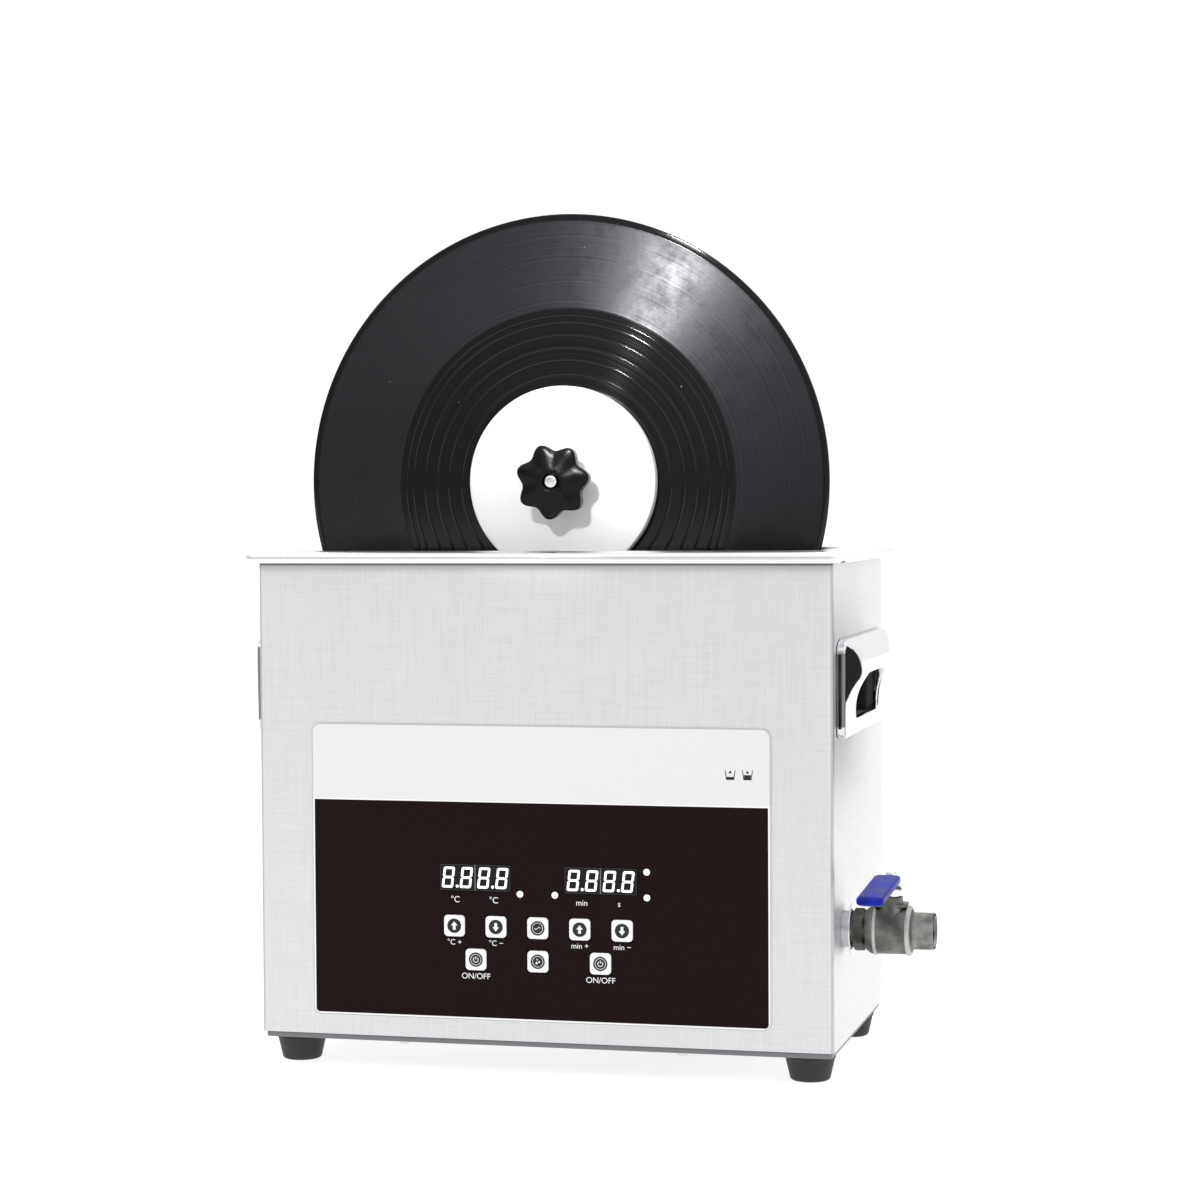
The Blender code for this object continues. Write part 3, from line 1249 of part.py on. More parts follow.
def make_fan():
    """Square fan frame with a hub on three struts, and its bladed rotor."""
    half = FAN_SIZE / 2
    back = REAR - CASING_WALL - GAP
    front = back - FAN_DEPTH
    low, high = (FAN_X - half, front, FAN_Z - half), (FAN_X + half, back, FAN_Z + half)
    frame = box("fan_frame", low, high, FAN_CORNER, along=1)
    centre = (FAN_X, 0.0, FAN_Z)
    ends = ((FAN_X, front - OVERRUN, FAN_Z), (FAN_X, back + OVERRUN, FAN_Z))
    cut(frame, rod("fan_bore", *ends, FAN_BORE / 2))
    hub_back = front + FAN_HUB_DEPTH
    join(frame, boxes("fan_struts", fan_strut_boxes(front, hub_back)))
    ends = ((FAN_X, front, FAN_Z), (FAN_X, hub_back, FAN_Z))
    join(frame, rod("fan_hub", *ends, FAN_HUB_DIAMETER / 2))
    ends = ((FAN_X, front - OVERRUN, FAN_Z), (FAN_X, hub_back + OVERRUN, FAN_Z))
    cut(frame, rod("fan_shaft_hole", *ends, FAN_SHAFT_DIAMETER / 2 + GAP, sides=TURN_STEPS // 2))
    paint(frame, "black_plastic")
    rotor_front = hub_back + GAP
    rotor_back = rotor_front + ROTOR_DEPTH
    shaft = FAN_SHAFT_DIAMETER / 2
    hub = ROTOR_HUB_DIAMETER / 2
    profile = [(0.0, rotor_back), (hub, rotor_back), (hub, rotor_front), (shaft, rotor_front)]
    profile += [(shaft, front + GAP), (0.0, front + GAP)]
    rotor = turned("fan_rotor", profile, centre, "Y")
    join(rotor, fan_blades((rotor_front + rotor_back) / 2))
    paint(rotor, "black_plastic")


def fan_strut_boxes(front, back):
    """Corners of the two crossed struts that carry the fan's hub."""
    half, reach = FAN_STRUT / 2, FAN_BORE / 2 + FAN_STRUT / 2
    level = ((FAN_X - reach, front, FAN_Z - half), (FAN_X + reach, back, FAN_Z + half))
    upright = ((FAN_X - half, front, FAN_Z + half * 2), (FAN_X + half, back, FAN_Z + reach))
    return [level, upright]


def fan_blades(middle):
    """Twisted blades round the rotor's hub, as separate boxes in one tool."""
    bm = bmesh.new()
    root, tip = ROTOR_HUB_DIAMETER / 2 - BLADE_SINK, ROTOR_DIAMETER / 2
    size = Matrix.Diagonal((tip - root, BLADE_CHORD, BLADE_THICKNESS, 1.0))
    lean = Matrix.Rotation(BLADE_TWIST, 4, "X")
    for blade in range(BLADE_COUNT):
        turn = Matrix.Rotation(2 * math.pi * blade / BLADE_COUNT, 4, "Y")
        out = Matrix.Translation(((root + tip) / 2, 0.0, 0.0))
        bmesh.ops.create_cube(bm, size=1.0, matrix=turn @ out @ lean @ size)
    blades = add_mesh("fan_blades", bm)
    blades.location = (FAN_X, middle, FAN_Z)
    return blades


def rear_box(name, x, z, width, height, span_y, corner=0.0):
    """A box centred at X and Z that runs along Y."""
    low = (x - width / 2, span_y[0], z - height / 2)
    return box(name, low, (x + width / 2, span_y[1], z + height / 2), corner, along=1)


def make_inlet():
    """Mains socket with its flange, hollow and three pins."""
    face = REAR + GAP + INLET_FLANGE_DEPTH
    width, height, flange = INLET_FLANGE_WIDTH, INLET_FLANGE_HEIGHT, (REAR + GAP, face)
    inlet = rear_box("power_inlet", INLET_X, INLET_Z, width, height, flange, INLET_CORNER)
    body = (REAR - INLET_BODY_DEPTH, REAR + GAP + INLET_FLANGE_DEPTH / 2)
    join(inlet, rear_box("inlet_body", INLET_X, INLET_Z, INLET_BODY_WIDTH, INLET_BODY_HEIGHT, body))
    width, height = INLET_BODY_WIDTH - 2 * INLET_WALL, INLET_BODY_HEIGHT - 2 * INLET_WALL
    floor = face - INLET_SOCKET_DEPTH
    span = (floor, face + OVERRUN)
    cut(inlet, rear_box("inlet_socket", INLET_X, INLET_Z, width, height, span, INLET_CORNER))
    pins = []
    for index in (-1, 0, 1):
        x, z = INLET_X + index * PIN_PITCH, INLET_Z + (PIN_RISE if index == 0 else -PIN_RISE)
        low = (x - PIN_WIDTH / 2, floor - INLET_WALL / 2, z - PIN_HEIGHT / 2)
        pins.append((low, (x + PIN_WIDTH / 2, floor + PIN_LENGTH, z + PIN_HEIGHT / 2)))
    join(inlet, boxes("inlet_pins", pins))
    paint(inlet, "black_plastic")


def make_switch():
    """Mains switch: a hollow frame and a rocker tilted to its off side."""
    face = REAR + GAP + SWITCH_BEZEL
    span = (REAR + GAP, face)
    frame = rear_box("switch_frame", SWITCH_X, SWITCH_Z, SWITCH_WIDTH, SWITCH_HEIGHT, span)
    width, height = SWITCH_WIDTH - 2 * SWITCH_BODY_MARGIN, SWITCH_HEIGHT - 2 * SWITCH_BODY_MARGIN
    span = (face - SWITCH_BODY_DEPTH, REAR + GAP + SWITCH_BEZEL / 2)
    join(frame, rear_box("switch_body", SWITCH_X, SWITCH_Z, width, height, span))
    span = (face - SWITCH_CAVITY_DEPTH, face + OVERRUN)
    width, height = SWITCH_CAVITY_WIDTH, SWITCH_CAVITY_HEIGHT
    cut(frame, rear_box("switch_cavity", SWITCH_X, SWITCH_Z, width, height, span))
    paint(frame, "black_plastic")
    half, long = SWITCH_CAVITY_WIDTH / 2 - GAP, ROCKER_HALF_LENGTH
    outline = [(ROCKER_HORN, -long), (ROCKER_WAIST, 0.0), (ROCKER_HORN, long)]
    outline += [(0.0, long), (-ROCKER_BACK, long / 2), (-ROCKER_BACK, -long / 2), (0.0, -long)]
    rocker = plate("switch_rocker", outline, -half, half, "YZ")
    rocker.location = (SWITCH_X, face - ROCKER_PIVOT_DEPTH, SWITCH_Z)
    rocker.rotation_euler = (-ROCKER_TILT, 0.0, 0.0)
    paint(rocker, "glossy_black_plastic")


def make_record():
    """Vinyl disc with sunk grooves, a raised label ground and an edge bead."""
    edge, label, hole = RECORD_DIAMETER / 2, RECORD_LABEL_DIAMETER / 2, SPINDLE_DIAMETER / 2 + GAP
    front, back, sink = RECORD_FRONT, RECORD_BACK, RECORD_GROOVE_SINK
    bead = edge - RECORD_BEAD
    outer = [(edge, back - sink), (edge, front + sink), (edge - sink, front), (bead, front)]
    face = [(bead - sink, front + sink), (label + sink, front + sink), (label, front), (hole, front)]
    profile = outer + face + [(r, back + front - y) for r, y in reversed(face)]
    profile += [(bead, back), (edge - sink, back)]
    record = turned("record", profile, (0.0, 0.0, RECORD_Z), "Y", ring=True, steps=FINE_STEPS)
    paint(record, "vinyl")


def make_clamp():
    """Label guards, seals and washer that grip the record, all round the spindle."""
    base = (0.0, 0.0, RECORD_Z)
    hole, disc, edge = SPINDLE_DIAMETER / 2 + GAP, DISC_DIAMETER / 2, DISC_EDGE
    for word, front in (("front", FRONT_DISC_FRONT), ("rear", REAR_DISC_FRONT)):
        back = front + DISC_THICKNESS
        profile = [(disc - edge, back), (disc, back - edge), (disc, front + edge), (disc - edge, front)]
        profile += [(hole, front), (hole, back)]
        guard = turned(word + "_disc", profile, base, "Y", ring=True, steps=FINE_STEPS // 2)
        paint(guard, "white_acetal")
    outer, inner = SEAL_DIAMETER / 2, SEAL_DIAMETER / 2 - SEAL_WIDTH
    for word, front in (("front", FRONT_SEAL_BACK - SEAL_THICKNESS), ("rear", REAR_SEAL_FRONT)):
        back = front + SEAL_THICKNESS
        seal = ring(word + "_seal", inner, outer, front, back, base, "Y", FINE_STEPS // 2)
        paint(seal, "black_rubber")
    low = CLAMP_WASHER_BACK - CLAMP_WASHER_THICKNESS
    washer = ring("clamp_washer", hole, CLAMP_WASHER_DIAMETER / 2, low, CLAMP_WASHER_BACK, base, "Y")
    paint(washer, "polished_stainless")


def make_spindle():
    """Stepped spindle: thread at the front, shoulder behind the discs, journal in the motor."""
    thin, thick = SPINDLE_DIAMETER / 2, SPINDLE_SHOULDER_DIAMETER / 2
    journal = SPINDLE_JOURNAL_DIAMETER / 2
    front, shoulder = KNOB_FRONT - SPINDLE_SHOWN, REAR_DISC_BACK + GAP
    step = PLATE_FRONT - GAP - BUSH_FLANGE_THICKNESS - GAP
    back = PLATE_BACK + SPINDLE_IN_MOTOR
    profile = [(0.0, back), (journal, back), (journal, step), (thick, step), (thick, shoulder)]
    profile += [(thin, shoulder), (thin, front + SPINDLE_SHOWN)]
    profile += [(thin - SPINDLE_SHOWN, front), (0.0, front)]
    spindle = turned("spindle", profile, (0.0, 0.0, RECORD_Z), "Y")
    paint(spindle, "polished_stainless")


def star_points():
    """Outline of the knob: a circle whose radius swells once for each lobe."""
    mean = KNOB_DIAMETER / 2 - KNOB_LOBE_DEPTH
    count = KNOB_LOBES * KNOB_LOBE_STEPS
    points = []
    for index in range(count):
        angle = 2 * math.pi * index / count
        radius = mean + KNOB_LOBE_DEPTH * math.cos(KNOB_LOBES * (angle - KNOB_TURN))
        points.append((radius * math.sin(angle), RECORD_Z + radius * math.cos(angle)))
    return points


def make_knob():
    """Seven-lobed clamp knob with a hub behind it."""
    knob = plate("star_knob", star_points(), KNOB_FRONT, KNOB_STAR_BACK, "XZ")
    bevel(knob, KNOB_EDGE)
    ends = ((0.0, KNOB_STAR_BACK - KNOB_THICKNESS / 2, RECORD_Z), (0.0, KNOB_BACK, RECORD_Z))
    join(knob, rod("knob_hub", *ends, KNOB_HUB_DIAMETER / 2))
    ends = ((0.0, KNOB_FRONT - OVERRUN, RECORD_Z), (0.0, KNOB_BACK + OVERRUN, RECORD_Z))
    cut(knob, rod("knob_bore", *ends, SPINDLE_DIAMETER / 2 + GAP))
    pivot(knob, (0.0, KNOB_FRONT, RECORD_Z))
    paint(knob, "glossy_black_plastic")


def make_saddle():
    """Saddle over the rear rim, and the two thumb screws that press on the rim."""
    arm_low, jaw_low = SADDLE_LOW - SADDLE_ARM_DROP, SADDLE_LOW - SADDLE_JAW_DROP
    outline = [(JAW_FRONT, jaw_low), (JAW_BACK, jaw_low), (JAW_BACK, SADDLE_LOW)]
    outline += [(ARM_FRONT, SADDLE_LOW), (ARM_FRONT, arm_low), (ARM_BACK, arm_low)]
    outline += [(ARM_BACK, SADDLE_TOP), (JAW_FRONT, SADDLE_TOP)]
    half = SADDLE_WIDTH / 2
    saddle = plate("rack_saddle", outline, -half, half, "YZ")
    z = (RIM_BOTTOM + RIM_TOP) / 2
    holes = []
    for side in (-1, 1):
        x = side * THUMB_SPACING / 2
        holes.append(((x, ARM_FRONT - OVERRUN, z), (x, ARM_BACK + OVERRUN, z)))
    cut(saddle, rods("saddle_screw_holes", holes, THUMB_SHANK_DIAMETER / 2 + GAP))
    paint(saddle, "brushed_stainless")
    shank, head = THUMB_SHANK_DIAMETER / 2, THUMB_HEAD_DIAMETER / 2
    tip, head_front = REAR + RIM_OVERHANG + GAP, ARM_BACK + THUMB_HEAD_STANDOFF
    head_back = head_front + THUMB_HEAD_LENGTH
    profile = [(0.0, head_back), (head - MOTOR_EDGE, head_back), (head, head_back - MOTOR_EDGE)]
    profile += [(head, head_front), (shank, head_front), (shank, tip), (0.0, tip)]
    for side, word in ((-1, "left"), (1, "right")):
        screw = turned("thumb_screw_" + word, profile, (side * THUMB_SPACING / 2, 0.0, z), "Y")
        paint(screw, "glossy_black_plastic")


def make_motor_plate():
    """Upright plate on the saddle, with the bush that carries the spindle."""
    foot_back = PLATE_FRONT + PLATE_FOOT_REACH
    top = RECORD_Z + PLATE_ABOVE_AXIS
    half = PLATE_WIDTH / 2
    low = (-half, PLATE_FRONT, PLATE_LOW)
    upright = box("motor_plate", low, (half, PLATE_BACK, top), PLATE_CORNER, along=1)
    join(upright, box("motor_plate_foot", low, (half, foot_back, PLATE_FOOT_TOP)))
    ends = ((0.0, PLATE_FRONT - OVERRUN, RECORD_Z), (0.0, PLATE_BACK + OVERRUN, RECORD_Z))
    cut(upright, rod("motor_plate_hole", *ends, BUSH_DIAMETER / 2 + GAP))
    paint(upright, "brushed_stainless")
    bore, outer = SPINDLE_JOURNAL_DIAMETER / 2 + GAP, BUSH_DIAMETER / 2
    flange = BUSH_FLANGE_DIAMETER / 2
    flange_back = PLATE_FRONT - GAP
    flange_front = flange_back - BUSH_FLANGE_THICKNESS
    profile = [(outer, PLATE_BACK), (outer, flange_back), (flange, flange_back), (flange, flange_front)]
    profile += [(bore, flange_front), (bore, PLATE_BACK)]
    bush = turned("spindle_bush", profile, (0.0, 0.0, RECORD_Z), "Y", ring=True)
    paint(bush, "bronze")


def make_motor():
    """Gear motor with a socket for the spindle, under a black cover with a lead hole."""
    base = (0.0, 0.0, RECORD_Z)
    front = PLATE_BACK + GAP
    gear_end = front + GEARBOX_LENGTH
    back = gear_end + MOTOR_LENGTH
    socket, bottom = SPINDLE_JOURNAL_DIAMETER / 2 + GAP, PLATE_BACK + SPINDLE_IN_MOTOR + GAP
    gearbox, motor, edge = GEARBOX_DIAMETER / 2, MOTOR_DIAMETER / 2, MOTOR_EDGE
    profile = [(0.0, back), (motor - edge, back), (motor, back - edge), (motor, gear_end)]
    profile += [(gearbox, gear_end), (gearbox, front), (socket, front), (socket, bottom), (0.0, bottom)]
    paint(turned("gear_motor", profile, base, "Y"), "aluminium")
    half, top = COVER_WIDTH / 2, RECORD_Z + COVER_ABOVE_AXIS
    low, high = (-half, COVER_FRONT, COVER_LOW), (half, COVER_BACK, top)
    cover = box("motor_cover", low, high, COVER_CORNER, along=1, top=COVER_WALL)
    inner = half - COVER_WALL
    low = (-inner, COVER_FRONT - OVERRUN, COVER_LOW + COVER_WALL)
    high = (inner, COVER_BACK - COVER_WALL, top - COVER_WALL)
    cut(cover, box("motor_cover_inside", low, high, COVER_CORNER - COVER_WALL, along=1))
    z = RECORD_Z - COVER_SOCKET_RISE
    ends = ((0.0, COVER_BACK - OVERRUN, z), (0.0, COVER_BACK + OVERRUN, z))
    cut(cover, rod("motor_cover_socket", *ends, COVER_SOCKET_DIAMETER / 2))
    paint(cover, "black_plastic")


def make_machine():
    """Build every piece of the machine."""
    clear_scene()
    make_finishes()
    make_collections()
    make_casing()
    make_base()
    make_tank()
    make_panel()
    make_keys()
    make_displays()
    make_control_board()
    for side, word in ((-1, "left"), (1, "right")):
        make_handle(side, word)
    make_drain_pipe()
    make_valve_shell()
    make_valve_core()
    make_lever()
    make_transducers()
    make_heater()
    make_driver_board()
    make_fan()
    make_inlet()
    make_switch()
    make_record()
    make_clamp()
    make_spindle()
    make_knob()
    make_saddle()
    make_motor_plate()
    make_motor()


make_machine()
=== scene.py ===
"""Looks of a bench-top record cleaning machine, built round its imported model."""
import json
import math

import bmesh
import bpy
import numpy as np
from mathutils import Matrix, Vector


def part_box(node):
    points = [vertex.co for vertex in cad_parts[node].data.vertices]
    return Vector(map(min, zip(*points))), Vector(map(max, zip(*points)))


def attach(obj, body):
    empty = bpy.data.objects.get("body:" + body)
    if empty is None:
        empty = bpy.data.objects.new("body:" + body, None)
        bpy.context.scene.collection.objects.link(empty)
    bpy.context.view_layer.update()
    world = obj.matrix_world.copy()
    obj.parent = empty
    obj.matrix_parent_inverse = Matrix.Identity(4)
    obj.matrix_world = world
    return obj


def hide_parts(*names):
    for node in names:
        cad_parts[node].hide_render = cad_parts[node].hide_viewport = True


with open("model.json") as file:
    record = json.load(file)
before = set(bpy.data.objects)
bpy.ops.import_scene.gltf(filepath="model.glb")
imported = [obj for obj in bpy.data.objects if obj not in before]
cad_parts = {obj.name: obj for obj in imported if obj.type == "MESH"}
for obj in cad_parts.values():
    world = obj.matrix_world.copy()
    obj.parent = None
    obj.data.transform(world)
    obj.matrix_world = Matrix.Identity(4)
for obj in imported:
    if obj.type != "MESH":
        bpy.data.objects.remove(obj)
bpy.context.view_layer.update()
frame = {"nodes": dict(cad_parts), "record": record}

X, Y, Z = 0, 1, 2

# Mesh settings
SEGMENTS = 160
SMALL_SEGMENTS = 64
NUT_SEGMENTS = 96
CORNER_STEPS = 8
EASE_STEPS = 5
WELD = 1e-7
CREASE = math.radians(38)
OVERRUN = 0.001
FIT_GAP = 0.0003
EASE_LIMIT = 0.48
NODE_WELD = 5e-6
FLAT_ANGLE = math.radians(0.5)
BEVEL_STEPS = 3
SHADING_WEIGHT = 60
SQUARE = np.array([(-0.5, -0.5, 0.0), (0.5, -0.5, 0.0), (0.5, 0.5, 0.0), (-0.5, 0.5, 0.0)])

# Photograph's camera: how it stands round the machine
CAMERA_PLACE = (0.40005, -1.62905, 0.3185)
CAMERA_YAW = math.radians(14.056)
CAMERA_PITCH = math.radians(2.077)
CAMERA_ROLL = math.radians(-0.324)
CAMERA_LENS_MM = 87.57
CAMERA_CLIP = (0.05, 50.0)
SENSOR_MM = 36.0


def corners(node):
    """Lowest and highest corner of a CAD node, as arrays."""
    low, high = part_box(node)
    return np.array(low), np.array(high)


def middle(node):
    """Middle of a CAD node's box."""
    low, high = corners(node)
    return (low + high) / 2


# Meshes

def add_mesh(name, points, faces):
    """A welded mesh object with its faces outwards, smooth but for its creases."""
    mesh = bpy.data.meshes.new(name)
    mesh.from_pydata(np.asarray(points).tolist(), [], faces)
    bm = bmesh.new()
    bm.from_mesh(mesh)
    bmesh.ops.remove_doubles(bm, verts=bm.verts, dist=WELD)
    bmesh.ops.recalc_face_normals(bm, faces=bm.faces)
    bm.to_mesh(mesh)
    bm.free()
    return add_object(name, mesh)


def add_object(name, mesh):
    """An object for a mesh, shaded smooth but for its creases."""
    mesh.shade_smooth()
    mesh.set_sharp_from_angle(angle=CREASE)
    piece = bpy.data.objects.new(name, mesh)
    bpy.context.scene.collection.objects.link(piece)
    return piece


def grid_faces(grid, around=True, along=False, capped=True):
    """Points and faces of a grid: a quad between neighbours, closed round its columns, and over its
    rows where along is true, or else with a face over each end."""
    rows, columns = grid.shape[:2]
    index = np.arange(rows * columns).reshape(rows, columns)
    if around:
        index = np.hstack([index, index[:, :1]])
    if along:
        index = np.vstack([index, index[:1]])
    quads = np.stack([index[:-1, :-1], index[:-1, 1:], index[1:, 1:], index[1:, :-1]], axis=-1)
    faces = quads.reshape(-1, 4).tolist()
    if capped and around and not along:
        faces += [index[0, -2::-1].tolist(), index[-1, :-1].tolist()]
    return grid.reshape(-1, 3), faces


def surface(name, *grids, **kind):
    """One mesh of one or more grids."""
    points, faces, count = [], [], 0
    for grid in grids:
        more_points, more_faces = grid_faces(grid, **kind)
        faces += [[corner + count for corner in face] for face in more_faces]
        points.append(more_points)
        count += len(more_points)
    return add_mesh(name, np.concatenate(points), faces)


def eased(outline, radius, closed=False):
    """Outline with round corners: each corner gives way to a quadratic curve between the points a
    radius before and after it. Lengths are measured on the first two coordinates."""
    points = np.asarray(outline, float)
    reach = np.broadcast_to(radius, len(points)).astype(float)
    ends = []
    for other in (np.roll(points, 1, axis=0), np.roll(points, -1, axis=0)):
        way = other - points
        length = np.maximum(np.linalg.norm(way[:, :2], axis=1), WELD)
        ends.append(points + way * np.minimum(reach / length, EASE_LIMIT)[:, None])
    share = np.linspace(0.0, 1.0, EASE_STEPS + 1)[None, :, None]
    start, corner, end = ends[0][:, None], points[:, None], ends[1][:, None]
    curve = (1 - share) ** 2 * start + 2 * share * (1 - share) * corner + share ** 2 * end
    if closed:
        return curve.reshape(-1, points.shape[1])
    inner = curve[1:-1].reshape(-1, points.shape[1])
    return np.vstack([points[:1], inner, points[-1:]])


def turned_grid(outline, centre, axis, segments=SEGMENTS):
    """Outline of (radius, station) points carried round an axis: radius times the cosine and sine of
    the turn from the centre, at its station along the axis."""
    radius, station = np.asarray(outline, float).T
    turn = np.linspace(0.0, 2 * np.pi, segments, endpoint=False)
    first, second = [side for side in (X, Y, Z) if side != axis]
    grid = np.empty((len(radius), segments, 3))
    grid[..., axis] = station[:, None]
    grid[..., first] = centre[first] + radius[:, None] * np.cos(turn)
    grid[..., second] = centre[second] + radius[:, None] * np.sin(turn)
    return grid


def turned(name, outline, centre, axis, ring=False, segments=SEGMENTS):
    """A turned piece, from an outline that ends on the axis or, as a ring, closes on itself."""
    return surface(name, turned_grid(outline, centre, axis, segments), along=ring)


def rounded_loop(half_across, half_up, corner, straight=0):
    """Loop round a rectangle: a quarter circle about each corner's centre, with evenly spaced points
    on the straight runs between them. The corner is one radius, or one to each corner from the upper
    right round to the lower right."""
    corner = np.broadcast_to(corner, 4)[:, None]
    quarter = np.linspace(0.0, np.pi / 2, CORNER_STEPS)
    turn = np.arange(4)[:, None] * np.pi / 2 + quarter
    across = np.array([1, -1, -1, 1])[:, None] * (half_across - corner) + corner * np.cos(turn)
    up = np.array([1, 1, -1, -1])[:, None] * (half_up - corner) + corner * np.sin(turn)
    arcs = np.stack([across, up], axis=-1)
    run_starts, run_ends = arcs[:, -1], np.roll(arcs[:, 0], -1, axis=0)
    share = np.linspace(0.0, 1.0, straight + 2)[1:-1]
    runs = run_starts[:, None] + share[None, :, None] * (run_ends - run_starts)[:, None]
    return np.concatenate([arcs, runs], axis=1).reshape(-1, 2)


def carried_grid(section, half, centre, axis, corner=None):
    """Section of (outset, station, corner radius) points carried round a rounded rectangle of given
    half sizes: each point is a loop grown by its outset at its station along the axis."""
    section = np.asarray(section, float)
    if section.shape[1] == 2:
        section = np.column_stack([section, np.maximum(corner + section[:, 0], 0.0)])
    first, second = [side for side in (X, Y, Z) if side != axis]
    grid = np.empty((len(section), 4 * CORNER_STEPS, 3))
    for row, (outset, station, radius) in zip(grid, section):
        loop = rounded_loop(half[0] + outset, half[1] + outset, max(radius, 0.0))
        row[:, axis] = station
        row[:, first] = centre[first] + loop[:, 0]
        row[:, second] = centre[second] + loop[:, 1]
    return grid


def baked(guide):
    """Mesh of an object with its modifiers applied."""
    graph = bpy.context.evaluated_depsgraph_get()
    return bpy.data.meshes.new_from_object(guide.evaluated_get(graph))


def carve(piece, cutter):
    """Cut a closed piece out of another, and remove the cutter."""
    knife = piece.modifiers.new("cut", "BOOLEAN")
    knife.object = cutter
    bpy.context.view_layer.update()
    mesh = baked(piece)
    piece.modifiers.clear()
    piece.data = mesh
    mesh.shade_smooth()
    mesh.set_sharp_from_angle(angle=CREASE)
    bpy.data.objects.remove(cutter)


def dressed(node, edge=0.0):
    """Welded copy of a CAD node with its flat faces whole, its edges eased and its shading even."""
    bm = bmesh.new()
    bm.from_mesh(frame["nodes"][node].data)
    bmesh.ops.remove_doubles(bm, verts=bm.verts, dist=NODE_WELD)
    bmesh.ops.dissolve_limit(bm, angle_limit=FLAT_ANGLE, verts=bm.verts, edges=bm.edges)
    mesh = bpy.data.meshes.new(node + "_dressed")
    bm.to_mesh(mesh)
    bm.free()
    piece = add_object(node + "_dressed", mesh)
    if edge:
        ease = piece.modifiers.new("edge", "BEVEL")
        ease.width = edge
        ease.segments = BEVEL_STEPS
        ease.limit_method = "ANGLE"
        ease.angle_limit = CREASE
        ease.miter_outer = "MITER_ARC"
    even = piece.modifiers.new("shading", "WEIGHTED_NORMAL")
    even.keep_sharp = True
    even.weight = SHADING_WEIGHT
    return piece


def settle(piece, body, finish, slot, *nodes):
    """Give a piece its body and material, and hide the CAD nodes that it stands for. The slot is not used.
    """
    piece.data.materials.clear()
    piece.data.materials.append(finish)
    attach(piece, body)
    if nodes:
        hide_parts(*nodes)
    return piece


# Materials
METAL = 1.0
SPECULAR = "Specular IOR Level"


def colour(hexadecimal):
    """Linear RGBA of an sRGB hex colour."""
    parts = [int(hexadecimal[at:at + 2], 16) / 255 for at in (0, 2, 4)]
    return (*[part / 12.92 if part <= 0.04045 else ((part + 0.055) / 1.055) ** 2.4 for part in parts], 1.0)


def add(tree, kind, sockets, **settings):
    """Add a node to a tree, with its settings, and its sockets given as values or linked outputs."""
    made = tree.nodes.new("ShaderNode" + kind)
    for name, value in settings.items():
        setattr(made, name, value)
    for name, value in sockets.items():
        if isinstance(value, bpy.types.NodeSocket):
            tree.links.new(value, made.inputs[name])
        else:
            made.inputs[name].default_value = value
    return made


def start_finish(name, base, roughness, metallic=0.0, **sockets):
    """A new material: its node tree, its Principled shader and its object coordinates."""
    material = bpy.data.materials.new(name)
    material.use_nodes = True
    tree = material.node_tree
    tree.nodes.clear()
    shader = add(tree, "BsdfPrincipled", {"Base Color": colour(base), "Roughness": roughness,
                                          "Metallic": metallic, **sockets})
    add(tree, "OutputMaterial", {"Surface": shader.outputs["BSDF"]})
    place = add(tree, "TexCoord", {}).outputs["Object"]
    return material, tree, shader, place


def stretched(tree, place, size):
    """Object coordinates counted in grains of a given size along each axis."""
    return add(tree, "Mapping", {"Vector": place, "Scale": tuple(1.0 / step for step in size)}).outputs[0]


def noise(tree, place, size, detail=2.0, roughness=0.5):
    """Noise whose grains have a given size along each axis."""
    sockets = {"Vector": stretched(tree, place, size), "Scale": 1.0, "Detail": detail,
               "Roughness": roughness}
    return add(tree, "TexNoise", sockets).outputs["Fac"]


def ranged(tree, value, low, high, to_low, to_high, smooth=False):
    """A value carried from one range to another."""
    sockets = {"Value": value, "From Min": low, "From Max": high, "To Min": to_low, "To Max": to_high}
    kind = "SMOOTHSTEP" if smooth else "LINEAR"
    return add(tree, "MapRange", sockets, interpolation_type=kind).outputs["Result"]


NOISE_LOW, NOISE_HIGH = 0.3, 0.7


def swayed(tree, value, low, high):
    """A noise's usual span carried to a range."""
    return ranged(tree, value, NOISE_LOW, NOISE_HIGH, low, high)


def mixed(tree, share, first, second):
    """Two colours mixed by a share."""
    sockets = {0: share, 6: first, 7: second}
    return add(tree, "Mix", sockets, data_type="RGBA").outputs[2]


def between(tree, share, first, second):
    """Two numbers mixed by a share."""
    return add(tree, "Mix", {0: share, 2: first, 3: second}).outputs[0]


def summed(tree, first, second, operation="ADD"):
    """Two numbers joined by an operation."""
    return add(tree, "Math", {0: first, 1: second}, operation=operation).outputs[0]


NOWHERE = (0.0, 0.0, 0.0)


def vector(tree, operation, first, second=NOWHERE, output="Vector"):
    """Two vectors joined by an operation, or one worked on by it."""
    return add(tree, "VectorMath", {0: first, 1: second}, operation=operation).outputs[output]


def along(tree, place, axis):
    """One coordinate of a place."""
    return add(tree, "SeparateXYZ", {0: place}).outputs[axis]


def bumped(tree, shader, height, depth):
    """Relief of a given depth in metres on a shader."""
    relief = add(tree, "Bump", {"Height": height, "Distance": depth, "Strength": 1.0})
    tree.links.new(relief.outputs["Normal"], shader.inputs["Normal"])


def link(tree, output, shader, name):
    """Link an output to one of a shader's sockets."""
    tree.links.new(output, shader.inputs[name])


